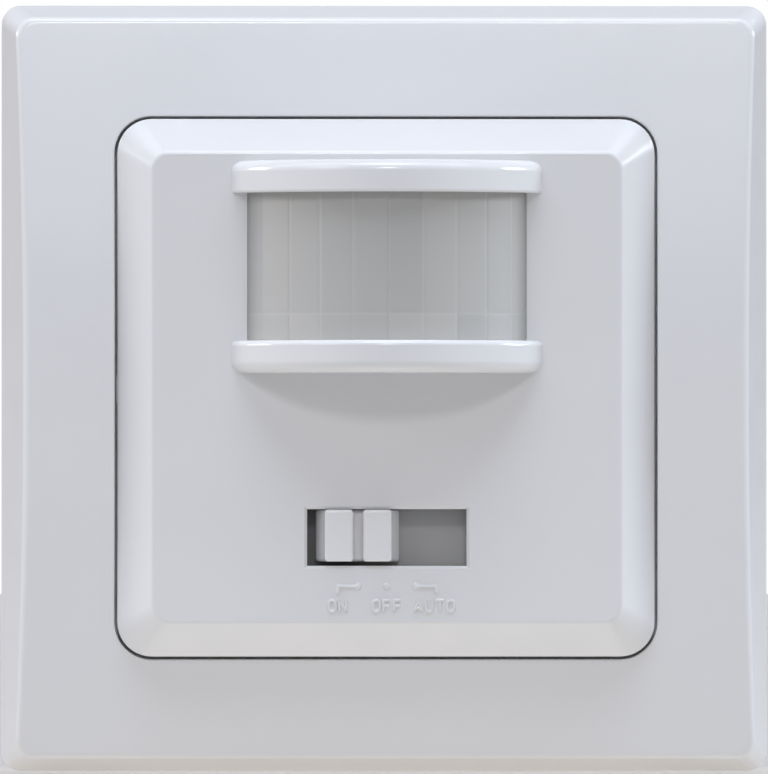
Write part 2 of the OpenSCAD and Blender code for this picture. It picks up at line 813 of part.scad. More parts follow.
module light_sensor() {
    body_y = sensor_board_y - ldr_stand;
    color("sandybrown") translate([ldr_x, 0, lens_z]) {
        intersection() {
            rod(ldr_r, body_y - ldr_t, body_y);
            block(2 * ldr_r, 2 * ldr_flat * ldr_r, body_y - ldr_t, body_y);
        }
        mirrored_pair(ldr_lead_x) rod(lead_r, body_y - EPS, sensor_board_y);
    }
}

module slide_switch_shell() {
    inner_w = switch_w - 2 * switch_shell_t;
    inner_h = switch_h - 2 * switch_shell_t;
    lever_run = lever_w + 2 * knob_step + 2 * run_clear;
    color("lightgray") translate([0, 0, slot_z]) difference() {
        block(switch_w, switch_h, switch_y, sensor_board_y);
        block(inner_w, inner_h, switch_y + switch_shell_t, sensor_board_y + cut_over);
        block(lever_run, lever_h + 2 * run_clear, switch_y - cut_over, switch_y + cut_over);
    }
}

module slide_switch_base() {
    inner_w = switch_w - 2 * switch_shell_t - 2 * snug_clear;
    inner_h = switch_h - 2 * switch_shell_t - 2 * snug_clear;
    color("peru") translate([0, 0, slot_z])
        block(inner_w, inner_h, sensor_board_y - switch_base_t, sensor_board_y);
}

module slide_switch_lever() {
    carriage_h = switch_h - 2 * switch_shell_t - 2 * run_clear;
    carriage_y = switch_y + switch_shell_t + snug_clear;
    color("dimgray") translate([knob_x, 0, slot_z]) {
        block(carriage_w, carriage_h, carriage_y, carriage_y + carriage_t);
        block(lever_w, lever_h, lever_tip_y, carriage_y + EPS);
    }
}

module trimmer_body(x) {
    front_y = sensor_board_y - trimmer_rise;
    color("royalblue") translate([x, 0, trimmer_z]) difference() {
        slab(front_y, sensor_board_y) rounded_square(trimmer_w, trimmer_corner_r);
        rod(rotor_r + run_clear, front_y - cut_over, sensor_board_y - rotor_floor);
    }
}

// Rotor with a screwdriver cross and one longer arm as the pointer
module trimmer_rotor(x) {
    front_y = sensor_board_y - trimmer_rise - rotor_proud;
    back_y = sensor_board_y - rotor_floor - snug_clear;
    color("ivory") translate([x, 0, trimmer_z]) difference() {
        rod(rotor_r, front_y, back_y);
        for (a = [0, 90]) rotate([0, a, 0])
            block(1.2 * rotor_r, driver_slot_w, front_y - cut_over, front_y + driver_slot_d);
        translate([0, 0, rotor_r / 2])
            block(driver_slot_w, rotor_r - pointer_rim, front_y - cut_over, front_y + driver_slot_d);
    }
}

module lux_trimmer_body() {
    trimmer_body(-trimmer_x);
}

module lux_trimmer_rotor() {
    trimmer_rotor(-trimmer_x);
}

module time_trimmer_body() {
    trimmer_body(trimmer_x);
}

module time_trimmer_rotor() {
    trimmer_rotor(trimmer_x);
}

module control_chip() {
    body_y = sensor_board_y - chip_gap;
    leg_mid_y = body_y - chip_body_t / 2;
    color("black") translate([0, 0, chip_z]) {
        difference() {
            block(chip_body_w, chip_body_h, body_y - chip_body_t, body_y);
            translate([-chip_body_w / 2, 0, 0]) rod(chip_notch_r, body_y - chip_body_t - cut_over, leg_mid_y);
        }
        for (i = [0 : chip_pins - 1], side = [-1, 1])
            translate([(i - (chip_pins - 1) / 2) * pin_pitch, 0, side * (chip_body_h + chip_leg_t) / 2])
                block(chip_leg_w, chip_leg_t + EPS, leg_mid_y, sensor_board_y);
    }
}

module timing_capacitors() {
    color("midnightblue") for (p = timing_cap_points) translate([p[0], 0, p[1]])
        rod(timing_cap_r, sensor_board_y - timing_cap_h, sensor_board_y);
}

module chip_resistors() {
    color("black") for (p = smd_points) translate([p[0], 0, p[1]])
        block(smd_w, smd_h, sensor_board_y - smd_t, sensor_board_y);
}

// One item for each pin of the board link
module link_row() {
    for (i = [0 : link_pin_count - 1])
        translate([link_x, 0, (i - (link_pin_count - 1) / 2) * pin_pitch]) children();
}

module link_pin_holes(y_front, y_back) {
    hole_w = link_pin_w + 2 * snug_clear;
    link_row() block(hole_w, hole_w, y_front, y_back);
}

module link_header() {
    back_y = sensor_board_back_y + link_base_t;
    color("black") difference() {
        translate([link_x, 0, 0]) block(link_w, link_l, sensor_board_back_y, back_y);
        link_pin_holes(sensor_board_back_y - cut_over, back_y + cut_over);
    }
}

module link_socket() {
    front_y = power_board_y - link_socket_t;
    color("black") difference() {
        translate([link_x, 0, 0]) block(link_w, link_l, front_y, power_board_y);
        link_pin_holes(front_y - cut_over, power_board_y - link_socket_floor);
    }
}

module link_pins() {
    color("goldenrod") link_row()
        block(link_pin_w, link_pin_w, sensor_board_y - link_pin_stub,
            power_board_y - link_socket_t + link_pin_dip);
}

module power_board() {
    color("darkgreen") difference() {
        trimmed_prism(board_w, board_r, power_board_y, power_board_back_y);
        for (p = pillar_points) translate([p[0], 0, p[1]])
            rod(pillar_hole_r, power_board_y - cut_over, power_board_back_y + cut_over);
    }
}

module relay() {
    color("mediumblue") translate([relay_x, 0, relay_z])
        slab(power_board_y - relay_rise, power_board_y) rounded_rect(relay_w, relay_h, relay_corner_r);
}

module film_capacitor() {
    color("gold") translate([film_x, 0, film_z])
        slab(power_board_y - film_rise, power_board_y) rounded_rect(film_w, film_t, film_corner_r);
}

module smoothing_capacitor() {
    color("black") translate([smoothing_x, 0, smoothing_z]) difference() {
        rod(smoothing_r, power_board_y - smoothing_rise, power_board_y);
        rotate([90, 0, 0]) translate([0, 0, sleeve_groove_y - power_board_y]) rotate_extrude()
            translate([smoothing_r + sleeve_groove_r / 2, 0]) circle(sleeve_groove_r);
    }
}

module surge_varistor() {
    mid_y = power_board_y - varistor_gap - varistor_r;
    color("dodgerblue") translate([varistor_x, 0, varistor_z]) {
        translate([-varistor_t / 2, mid_y, 0]) rotate([0, 90, 0]) cylinder(r = varistor_r, h = varistor_t);
        for (z = [-1, 1]) translate([z * varistor_t / 4, 0, z * varistor_r / 2])
            rod(lead_r, mid_y, power_board_y);
    }
}

// Round part lying on its board along X, with a lead bent down at each end
module axial_part(l, r, board_y) {
    mid_y = board_y - r - lead_gap;
    reach = l / 2 + lead_reach;
    translate([-l / 2, mid_y, 0]) rotate([0, 90, 0]) cylinder(r = r, h = l);
    translate([-reach, mid_y, 0]) rotate([0, 90, 0]) cylinder(r = lead_r, h = 2 * reach);
    mirrored_pair(reach) rod(lead_bend_r, mid_y - lead_bend_r, board_y);
}

module line_fuse() {
    color("tan") translate([fuse_x, 0, fuse_z]) axial_part(fuse_l, fuse_r, power_board_y);
}

module rectifier_diodes() {
    color("black") for (p = diode_points) translate([p[0], 0, p[1]])
        rotate([0, 90, 0]) axial_part(diode_l, diode_r, power_board_y);
}

module power_resistors() {
    color("tan") for (p = resistor_points) translate([p[0], 0, p[1]])
        rotate([0, 90, 0]) axial_part(resistor_l, resistor_r, power_board_y);
}

module driver_transistor() {
    body_y = power_board_y - transistor_stand;
    color("black") translate([transistor_x, 0, transistor_z]) {
        intersection() {
            rod(transistor_r, body_y - transistor_h, body_y);
            translate([0, 0, transistor_flat])
                block(2 * transistor_r, 2 * transistor_r, body_y - transistor_h, body_y);
        }
        for (i = [-1, 0, 1]) translate([i * transistor_lead_pitch, 0, transistor_lead_z])
            rod(lead_r, body_y - EPS, power_board_y);
    }
}

module terminal_block() {
    room_w = clamp_w + 2 * snug_clear;
    room_h = clamp_h + 2 * snug_clear;
    color("lightgray") difference() {
        translate([0, 0, terminal_z])
            block(terminal_w, terminal_h, power_board_back_y, terminal_back_y);
        for (i = poles) translate([i * pole_pitch, 0, clamp_z]) {
            block(room_w, room_h, power_board_back_y - cut_over, clamp_back_y + snug_clear);
            rod(terminal_well_r, wire_y, terminal_back_y + cut_over);
        }
        for (i = poles) translate([i * pole_pitch, wire_y, terminal_low_z - cut_over])
            cylinder(r = wire_r, h = clamp_z - terminal_low_z + cut_over);
    }
}

module terminal_clamps() {
    color("goldenrod") for (i = poles) translate([i * pole_pitch, 0, clamp_z]) difference() {
        block(clamp_w, clamp_h, power_board_back_y, clamp_back_y);
        translate([0, wire_y, -clamp_h]) cylinder(r = wire_r + wire_spare, h = 2 * clamp_h);
        rod(terminal_screw_r + snug_clear, wire_y, clamp_back_y + cut_over);
    }
}

module terminal_screws() {
    head_y = clamp_back_y + part_clear;
    tip_y = wire_y + wire_r + part_clear;
    color("silver") for (i = poles) translate([i * pole_pitch, 0, clamp_z]) difference() {
        union() {
            rod(terminal_head_r, head_y, head_y + terminal_head_t);
            rod(terminal_screw_r, tip_y, head_y + EPS);
        }
        block(3 * terminal_head_r, driver_slot_w, head_y + terminal_head_t - driver_slot_d,
            head_y + terminal_head_t + cut_over);
    }
}

outer_frame();
front_cover();
fresnel_lens();
lens_retainer();
switch_knob();
mounting_bracket();
rear_housing();
bracket_screws();
sensor_board();
board_screws();
pyro_can();
pyro_window();
pyro_header();
light_sensor();
slide_switch_shell();
slide_switch_base();
slide_switch_lever();
lux_trimmer_body();
lux_trimmer_rotor();
time_trimmer_body();
time_trimmer_rotor();
control_chip();
timing_capacitors();
chip_resistors();
link_header();
link_socket();
link_pins();
power_board();
relay();
film_capacitor();
smoothing_capacitor();
surge_varistor();
line_fuse();
rectifier_diodes();
power_resistors();
driver_transistor();
terminal_block();
terminal_clamps();
terminal_screws();
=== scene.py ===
"""Looks of a motion sensor light switch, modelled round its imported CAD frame.

Lengths are in millimetres, and meshes turn into metres when they are dressed.
X runs to the right, Y back into the wall and Z up, as in the CAD frame.
"""

from math import acos, cos, pi, radians, sin, sqrt, tan

import bmesh
import bpy
from mathutils import Matrix, Vector


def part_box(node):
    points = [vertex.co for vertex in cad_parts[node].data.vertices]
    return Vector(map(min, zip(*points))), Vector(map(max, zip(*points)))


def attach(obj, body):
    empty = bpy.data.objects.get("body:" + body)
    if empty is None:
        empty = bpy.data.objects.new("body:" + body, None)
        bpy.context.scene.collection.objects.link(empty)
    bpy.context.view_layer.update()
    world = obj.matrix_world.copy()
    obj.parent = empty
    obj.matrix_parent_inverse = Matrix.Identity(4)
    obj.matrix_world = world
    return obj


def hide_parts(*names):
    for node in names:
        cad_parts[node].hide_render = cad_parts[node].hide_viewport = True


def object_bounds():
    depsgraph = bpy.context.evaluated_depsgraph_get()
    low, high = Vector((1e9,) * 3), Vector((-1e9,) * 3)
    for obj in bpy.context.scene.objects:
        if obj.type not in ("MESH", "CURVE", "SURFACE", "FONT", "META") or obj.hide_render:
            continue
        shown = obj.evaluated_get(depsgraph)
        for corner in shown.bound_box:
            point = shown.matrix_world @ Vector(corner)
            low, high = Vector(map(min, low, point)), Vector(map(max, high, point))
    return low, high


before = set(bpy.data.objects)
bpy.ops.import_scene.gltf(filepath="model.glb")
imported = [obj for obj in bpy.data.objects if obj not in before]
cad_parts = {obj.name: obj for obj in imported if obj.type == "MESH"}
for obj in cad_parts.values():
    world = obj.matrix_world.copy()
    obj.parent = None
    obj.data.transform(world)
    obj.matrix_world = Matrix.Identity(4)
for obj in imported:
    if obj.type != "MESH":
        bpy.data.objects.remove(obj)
cad_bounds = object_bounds()

MM = 0.001


def box_mm(node):
    """Lowest and highest corner of a CAD node."""
    low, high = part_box(node)
    return low / MM, high / MM


def middle_mm(node):
    """Middle of a CAD node seen from the front, in X and Z."""
    low, high = box_mm(node)
    return (low.x + high.x) / 2, (low.z + high.z) / 2


# Sizes read from the frame
frame_low, frame_high = box_mm("outer_frame")
cover_low, cover_high = box_mm("front_cover")
lens_low, lens_high = box_mm("fresnel_lens")
knob_low, knob_high = box_mm("switch_knob")
caps_low, caps_high = box_mm("timing_capacitors")
terminal_low, terminal_high = box_mm("terminal_block")
FRAME_HALF = frame_high.x
CROWN_Y = frame_low.y
COVER_HALF = cover_high.x
SKIRT_BACK_Y = cover_high.y
KNOB_X = (knob_low.x + knob_high.x) / 2
BOARD_Y = box_mm("sensor_board")[0].y
CELL_FACE_Y = box_mm("light_sensor")[0].y
HOUSING_BACK_Y = box_mm("rear_housing")[1].y

# Sizes of the outer frame
CROWN_R = 235.0
DRAFT = tan(radians(15.5))
FRAME_CORNER_R = 2.0
FRAME_WALL = 1.8
FRAME_FILLET_R = 0.8
OPENING_HALF = 28.28
OPENING_R = 3.85
OPENING_FILLET_R = 0.2
COLLAR_WALL = 1.4
COLLAR_BACK_Y = -1.3
BEAD_RISE = 0.26
BEAD_FRONT_Y = -5.3
BEAD_BACK_Y = -4.65
TONGUE_W = 8.0
TONGUE_T = COLLAR_WALL - 0.04
TONGUE_OFFSET = 16.0
TONGUE_BACK_Y = -0.15
TONGUE_ROOT = 1.0
RELIEF_W = 7.4
RELIEF_IN = 26.1
RELIEF_OUT = 33.7
RELIEF_Y = -4.6

# Sizes of the front cover
FACE_Y = -11.0
FACE_HALF = 24.45
FACE_R = 1.9
FACE_WALL = 1.8
FACE_IN_Y = FACE_Y + FACE_WALL
FACE_IN_HALF = 23.7
FACE_IN_R = 0.95
FACE_FILLET_R = 0.5
RIM_Y = -7.45
RIM_IN_Y = -6.79
RIM_R = 3.6
RIM_FILLET_R = 0.35
SKIRT_WALL = 1.6
CLIP_W = 7.0
CLIP_T = 1.4
CLIP_OFFSET = 13.0
PEG_R = 0.8
PEG_HEAD_R = 1.3
PEG_HEAD_T = 0.5
PEG_BACK_Y = -7.1
PEG_X = 15.1
PEG_Z = 9.175

# Sizes of the lens and its bars
LENS_R = 17.2
LENS_T = 0.8
LENS_HALF = 14.5
LENS_H = 15.35
LENS_Z = 12.55
LENS_AXIS_Y = FACE_Y + sqrt(LENS_R**2 - LENS_HALF**2)
LENS_FLANGE = 2.0
LENS_FLANGE_Y = FACE_IN_Y + 0.05
LENS_ROOM = 0.02
LENS_LEG_ROOM = 0.05
LENS_LEG_RISE = 0.3
LENS_LEG_STEP = 0.1
GROOVE_DEPTH = 0.6
GROOVE_ROOM = 0.05
BAR_R = LENS_AXIS_Y - cover_low.y
BAR_H = 3.37
BAR_FILLET_R = 1.2
BAR_EDGE_R = 0.3
BAR_SILL_R = 0.6
SEGMENT_STEP = radians(12.2)
SEAM_DEPTH = 0.07
SEAM_HALF = 0.16
ROW_SEAM_SHARE = 0.6
LOWER_ROW_Z = 7.6
LOWER_RINGS_Z = LOWER_ROW_Z - 3.5
UPPER_RINGS_Z = LENS_Z + 1.5
RING_STEP = 0.2
# Turns from the front where the painted shade on the lens's sides begins and where it is full
PAINTED_SHADE_SIDES = (radians(51), radians(58))

# Sizes of the knob and its slot
SLOT_W = 16.6
SLOT_H = 5.9
SLOT_Z = -15.6
SLOT_BACK_Y = -7.8
SLOT_LAP = 1.2
SLOT_CHAMFER = 0.28
RAIL_T = 1.2
RAIL_LAP = 0.9
RAIL_GAP = 0.2
RAIL_ROOT = 0.3
RAIL_Y = -6.4
KNOB_H = 5.4
KNOB_Z = SLOT_Z + 0.2
KNOB_EDGE_R = 0.34
KNOB_FOOT_HALF = 4.35
KNOB_RIBS_HALF = 3.5
KNOB_GROOVE_HALF = 0.5
KNOB_SHOULDER_Y = -10.7
KNOB_GROOVE_Y = -9.9
KNOB_FOOT_Y = -8.5
KNOB_BACK_Y = -7.55
FLANGE_Y = -7.6
FLANGE_BACK_Y = FLANGE_Y + 1.0
SOCKET_HALF = (2.75, 2.45)
SOCKET_HOLE_HALF = (1.55, 1.25)
SOCKET_ROOT = 0.3

# Sizes of the marks below the knob
LETTER_H = 1.16
LETTER_W = 0.62
LETTER_GAP = 0.34
LETTER_Z = -23.3
WORD_PLACES = {"ON": -5.15, "OFF": 0.0, "AUTO": 4.95}
MARK_Z = -20.67
MARK_STEP = 3.02
MARK_OUT = 5.08
MARK_END_Z = -21.4
DOT_R = 0.4
DOT_RISE = 0.2
DOT_ROOT = 0.1
STROKE_W = 0.38
STROKE_RISE = 0.22
STROKE_ROOT = 0.05

# Sizes on the sensor board
PIN_PITCH = 2.54
CHIP_Z = -3.0
CHIP_PINS = 7
CHIP_LEG_Z = 3.4
CHIP_BODY_HALF = 3.2
LINK_PINS = 6
SMD_ROWS = (4.0, -9.0)
SMD_COUNT = 4
SMD_PITCH = 4.0
SMD_W = 2.0
SMD_END = 0.38
SMD_PAD_OUT = 0.85
TIMING_CAP_R = 2.0
STRIPE_TURN = -0.6
STRIPE_HALF = 0.35
BARE_TOP_SHARE = 0.82
BARE_TOP_DEPTH = 0.2
WEAVE_STEP = 0.3
SKIN = 0.01
CELL_T = 1.8
CELL_RUNS = 7
CELL_STEP = 0.46
CELL_TRACK_W = 0.2
CELL_TRACK_RISE = 0.05
CELL_R = sqrt(4.4)
CELL_FILL = 0.72
TRACK_W = 0.45
TRACK_RISE = 0.04
TRACK_CORNER = 0.6
CHIP_LEG_RUN = 1.2
CHIP_LEG_LEAN = 0.93
LANE_START = 2.2
LANE_STEP = 0.55
UPPER_END_X = 4.8
LOWER_END_X = 19.2
LOWER_END_STEP = 0.8
LINK_BEND_X = 17.2
LINK_END_Z = 10.2
PAD_RISE = TRACK_RISE + 0.02
CHIP_PAD_R = 0.8
END_PAD_HALF = (0.55, 0.75)
PRINT_W = 0.18
PRINT_RISE = TRACK_RISE + 0.02
PRINT_ROOM = 0.5
PRINTED_OBLONGS = {
    "control_chip": 0.5,
    "lux_trimmer_body": 0.35,
    "time_trimmer_body": 0.35,
    "slide_switch_shell": 0.4,
}
SOLDER_CONE = ((0.95, 0.0), (0.92, 0.06), (0.72, 0.22), (0.55, 0.45), (0.46, 0.7), (0.3, 0.82))
TRIMMER_TURN_DEG = 135.0
TICKS = 11
TICKS_TO_LONG = 5
TICK_IN = 2.68
TICK_OUT = 3.12
TICK_LONG = 3.25
TICK_W = 0.16
INK_ROOT = 0.02

# Sizes on the back of the housing
POLES = 3
NUMBER_H = 2.4
NUMBER_W = 0.55
NUMBER_Z = terminal_high.z + 1.1
BACK_RISE = 0.35
BORDER_HALF = (13.0, 4.5)
BORDER_W = 0.5
BORDER_Z = NUMBER_Z + NUMBER_H + 3.0 + BORDER_HALF[1]
EJECTOR_R = 1.5
EJECTOR_W = 0.16
EJECTOR_OUT = (14.5, 8.5)

# How far joined shapes start inside a wall or lap over it, and how far cuts run past it
ROOT = 0.4
LAP = 0.2
CUT_PAST = 1.0

# Steps of the round stretches
CIRCLE_STEPS = 40
ROD_STEPS = 32
CONE_STEPS = 24
DOT_STEPS = 20
DOME_RINGS = 6
OPENING_STEPS = 3
SIDE_STEPS = 28
CORNER_STEPS = 10
FILLET_STEPS = 6
ARC_STEPS = 72
BAR_STEPS = 9
FACE_RINGS = 8
INSIDE_RINGS = 4
LENS_COLUMNS = 220
LENS_ROWS = 64
MEETING_ROUNDS = 10


# Mesh helpers


def between(first, last, share):
    return first + (last - first) * share


def crown(z, inset=0.0):
    """Level of the frame's crowned face, or of its inside, at a height."""
    return CROWN_Y + CROWN_R - sqrt((CROWN_R - inset) ** 2 - z * z)


def perimeter_steps():
    """Points round a square: signs of the corner they belong to, and their outward direction."""
    corners = [(1, 1), (-1, 1), (-1, -1), (1, -1)]
    steps = []
    for turn, (sign_x, sign_z) in enumerate(corners):
        for i in range(CORNER_STEPS + 1):
            angle = radians(90 * (turn + i / CORNER_STEPS))
            steps.append((sign_x, sign_z, cos(angle), sin(angle)))
        next_x, next_z = corners[(turn + 1) % 4]
        angle = radians(90 * (turn + 1))
        for i in range(1, SIDE_STEPS):
            share = i / SIDE_STEPS
            across, upward = between(sign_x, next_x, share), between(sign_z, next_z, share)
            steps.append((across, upward, cos(angle), sin(angle)))
    return steps


STEPS = perimeter_steps()


def on_square(step, half, radius):
    """The point of a rounded square at a step, in X and Z."""
    sign_x, sign_z, out_x, out_z = step
    return sign_x * (half - radius) + radius * out_x, sign_z * (half - radius) + radius * out_z


def at(step, half, radius, y):
    """The point of a rounded square at a step and a level."""
    x, z = on_square(step, half, radius)
    return x, y, z


def on_crown(step, half, radius, inset=0.0):
    """The point of a rounded square at a step, on the crowned face or on its inside."""
    x, z = on_square(step, half, radius)
    return x, crown(z, inset), z


def circle(x, z, radius, steps=CIRCLE_STEPS):
    turns = [2 * pi * i / steps for i in range(steps)]
    return [(x + radius * cos(t), z + radius * sin(t)) for t in turns]


def oblong(low_x, low_z, high_x, high_z):
    return [(low_x, low_z), (high_x, low_z), (high_x, high_z), (low_x, high_z)]


def oblong_at(x, z, half_x, half_z):
    """An oblong with its middle at a place."""
    return oblong(x - half_x, z - half_z, x + half_x, z + half_z)


def at_level(outline, y):
    """A ring at a level, from an outline in X and Z."""
    return [(x, y, z) for x, z in outline]


def fillet(corner, before, after, radius):
    """Points of an arc that rounds a corner between two directions, all in one plane."""
    corner, before, after = Vector(corner), Vector(before).normalized(), Vector(after).normalized()
    half_angle = before.angle(after) / 2
    centre = corner + (before + after).normalized() * radius / sin(half_angle)
    first = corner + before * radius / tan(half_angle) - centre
    last = corner + after * radius / tan(half_angle) - centre
    turn = first.angle(last)
    points = []
    for i in range(FILLET_STEPS + 1):
        share = i / FILLET_STEPS
        away = first * sin((1 - share) * turn) + last * sin(share * turn)
        points.append(centre + away / sin(turn))
    return points


def quarter(radius, steps):
    """How far a quarter of a circle stays from the two lines that it joins, step by step."""
    turns = [radians(90 * i / steps) for i in range(steps + 1)]
    return [(radius * (1 - sin(turn)), radius * (1 - cos(turn))) for turn in turns]


def loft(rings, closed=False):
    """Faces between rings of equal length. An open loft is capped at both ends."""
    count = len(rings[0])
    points = [point for ring in rings for point in ring]
    faces = []
    for row in range(len(rings) if closed else len(rings) - 1):
        first = row * count
        second = (row + 1) % len(rings) * count
        for i in range(count):
            j = (i + 1) % count
            faces.append((first + i, first + j, second + j, second + i))
    if not closed:
        faces.append(tuple(range(count)))
        faces.append(tuple(range(len(points) - count, len(points))))
    return points, faces


def prism(outline, y_front, y_back):
    """A solid along Y, from an outline in X and Z."""
    return loft([at_level(outline, y) for y in (y_front, y_back)])


def upright(section, middle_z, half_z):
    """A solid along Z, from a section in X and Y."""
    return loft([[(x, y, z) for x, y in section] for z in (middle_z - half_z, middle_z + half_z)])


def block(low, high):
    """A box between two corners."""
    return prism(oblong(low[0], low[2], high[0], high[2]), low[1], high[1])


def rod(x, z, radius, y_front, y_back):
    """A rod along Y."""
    return prism(circle(x, z, radius, ROD_STEPS), y_front, y_back)


FLAT_SECTION = ((-1.0, 0.0), (-1.0, 1.0), (1.0, 1.0), (1.0, 0.0))
ROUND_SECTION = (
    (-1.0, 0.0), (-0.9, 0.5), (-0.6, 0.87), (-0.2, 1.0),
    (0.2, 1.0), (0.6, 0.87), (0.9, 0.5), (1.0, 0.0),
)


def strip(points, width, y_back, rise, closed=False, section=FLAT_SECTION):
    """A raised strip along a path in X and Z, with mitred bends and a section given in shares."""
    path = [Vector(point) for point in points]
    count = len(path)
    rings = []
    for i, here in enumerate(path):
        ways = []
        if closed or i > 0:
            ways.append((here - path[i - 1]).normalized())
        if closed or i < count - 1:
            ways.append((path[(i + 1) % count] - here).normalized())
        along = sum(ways, Vector((0.0, 0.0))).normalized()
        aside = Vector((-along.y, along.x)) * width / 2 / along.dot(ways[0])
        ring = []
        for share, height in section:
            place = here + aside * share
            ring.append((place.x, y_back - rise * height, place.y))
        rings.append(ring)
    return loft(rings, closed)


def ridge(points, width, y_back, rise):
    """A rounded strip along a path, which is closed if it ends where it starts."""
    closed = points[0] == points[-1]
    return strip(points[:-1] if closed else points, width, y_back, rise, closed, ROUND_SECTION)


def quarter_turns(shape):
    """Copies of a shape on the four sides, each a quarter turn about Y."""
    points, faces = shape
    copies = []
    for turn in range(4):
        spin = Matrix.Rotation(radians(90 * turn), 3, "Y")
        copies.append(([tuple(spin @ Vector(p)) for p in points], faces))
    return copies


def side_blocks(offset, width, y_front, y_back, low_z, high_z):
    """Blocks on the four sides, two on each, at an offset from its middle."""
    blocks = []
    for middle in (-offset, offset):
        low, high = (middle - width / 2, y_front, low_z), (middle + width / 2, y_back, high_z)
        blocks += quarter_turns(block(low, high))
    return blocks


def new_object(name, data):
    """A new object in the scene, from a mesh, a light or a camera."""
    obj = bpy.data.objects.new(name, data)
    bpy.context.scene.collection.objects.link(obj)
    return obj


def raw_object(name, *shapes):
    """An object in millimetres made of one or more closed shapes."""
    mesh = bpy.data.meshes.new(name)
    points, faces = [], []
    for shape_points, shape_faces in shapes:
        start = len(points)
        points += [tuple(p) for p in shape_points]
        faces += [tuple(start + i for i in face) for face in shape_faces]
    mesh.from_pydata(points, [], faces)
    bm = bmesh.new()
    bm.from_mesh(mesh)
    bmesh.ops.recalc_face_normals(bm, faces=bm.faces)
    bm.to_mesh(mesh)
    bm.free()
    return new_object(name, mesh)


def combine(target, operation, *shapes):
    """Adds shapes to an object, or takes them away, as closed solids."""
    tool = raw_object("tool", *shapes)
    modifier = target.modifiers.new("combine", "BOOLEAN")
    modifier.operation = operation
    modifier.solver = "EXACT"
    modifier.object = tool
    shown = target.evaluated_get(bpy.context.evaluated_depsgraph_get())
    mesh = bpy.data.meshes.new_from_object(shown)
    old = target.data
    target.modifiers.clear()
    target.data = mesh
    bpy.data.meshes.remove(old)
    bpy.data.meshes.remove(tool.data)


def round_edges(obj, radius, segments=4, least_deg=20.0):
    """Rounds every edge of a raw object that is sharper than an angle."""
    bm = bmesh.new()
    bm.from_mesh(obj.data)
    limit = radians(least_deg)
    edges = [edge for edge in bm.edges if edge.is_manifold and edge.calc_face_angle() > limit]
    bmesh.ops.bevel(
        bm, geom=edges, offset=radius, segments=segments, profile=0.5, affect="EDGES", clamp_overlap=True
    )
    bm.to_mesh(obj.data)
    bm.free()


def dress(obj, body, material, stands_for=(), sharp_deg=30.0):
    """Turns a raw object into a finished piece that rides on a body."""
    mesh = obj.data
    mesh.name = obj.name
    mesh.transform(Matrix.Scale(MM, 4))
    mesh.materials.clear()
    mesh.materials.append(material)
    mesh.shade_smooth()
    mesh.set_sharp_from_angle(angle=radians(sharp_deg))
    weighted = obj.modifiers.new("flat_faces", "WEIGHTED_NORMAL")
    weighted.keep_sharp = True
    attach(obj, body)
    if stands_for:
        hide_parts(*stands_for)


# Colours that several materials share
TIN = (0.7, 0.7, 0.7)
BLACK_TONE = (0.022, 0.022, 0.023)
CERAMIC_TONE = (0.66, 0.48, 0.3)

# Material helpers


class Shader:
    """A material with one Principled shader, and short ways to add nodes to it."""

    def __init__(self, name, colour, roughness, metallic=0.0):
        self.material = bpy.data.materials.new(name)
        self.material.use_nodes = True
        self.tree = self.material.node_tree
        self.surface = self.tree.nodes["Principled BSDF"]
        self.drive("Base Color", (*colour, 1.0))
        self.drive("Roughness", roughness)
        self.drive("Metallic", metallic)
        self.where = self.add("TexCoord", {})["Object"]

    def feed(self, socket, value):
        """Sets a socket to a constant, or links it to another socket."""
        if isinstance(value, bpy.types.NodeSocket):
            self.tree.links.new(value, socket)
        else:
            socket.default_value = value

    def drive(self, socket, value):
        """Feeds a socket of the surface."""
        self.feed(self.surface.inputs[socket], value)

    def add(self, kind, inputs, **settings):
        """Adds a node, feeds its inputs and returns its outputs."""
        node = self.tree.nodes.new("ShaderNode" + kind)
        for key, value in settings.items():
            setattr(node, key, value)
        for socket, value in inputs.items():
            self.feed(node.inputs[socket], value)
        return node.outputs

    def stretched(self, scale):
        """The place in the object, scaled along each axis."""
        return self.add("Mapping", {"Scale": scale, "Vector": self.where})["Vector"]

    def axes(self):
        """The place in the object, in millimetres along X, Y and Z."""
        place = self.stretched((1 / MM, 1 / MM, 1 / MM))
        return self.add("SeparateXYZ", {"Vector": place}).values()

    def noise(self, scale, detail=2.0, place=None):
        """Soft noise from 0 to 1, with features of about 1 m divided by the scale."""
        inputs = {"Scale": scale, "Detail": detail, "Vector": place or self.where}
        return self.add("TexNoise", inputs)["Fac"]

    def spread(self, value, low, high, start=0.3, end=0.7):
        """Maps a value between start and end onto a range."""
        inputs = {"Value": value, "From Min": start, "From Max": end, "To Min": low, "To Max": high}
        return self.add("MapRange", inputs)["Result"]

    def math(self, operation, first, second=0.0):
        return self.add("Math", {0: first, 1: second}, operation=operation)["Value"]

    def apart(self, first, second):
        """Distance between two numbers."""
        return self.math("ABSOLUTE", self.math("SUBTRACT", first, second))

    def length(self, first, second):
        """Length of the diagonal between two distances at right angles."""
        squares = [self.math("MULTIPLY", value, value) for value in (first, second)]
        return self.math("SQRT", self.math("ADD", *squares))

    def toss(self, first, second):
        """A number from 0 to 1 that changes at random with two others."""
        both = self.add("CombineXYZ", {"X": first, "Y": second})["Vector"]
        return self.add("TexWhiteNoise", {"Vector": both}, noise_dimensions="2D")["Value"]

    def either(self, share, first, second):
        """The first number where the share is 0, and the second where it is 1."""
        inputs = {"Factor": share, "A": first, "B": second}
        return self.add("Mix", inputs, data_type="FLOAT")["Result"]

    def blend(self, share, first, second):
        """A colour between two others, which may be colours or sockets."""
        first, second = [(*c, 1.0) if isinstance(c, tuple) else c for c in (first, second)]
        return self.add("Mix", {"Factor": share, 6: first, 7: second}, data_type="RGBA")[2]

    def bump(self, height, depth_mm, strength=1.0):
        inputs = {"Strength": strength, "Distance": depth_mm * MM, "Height": height}
        self.drive("Normal", self.add("Bump", inputs)["Normal"])


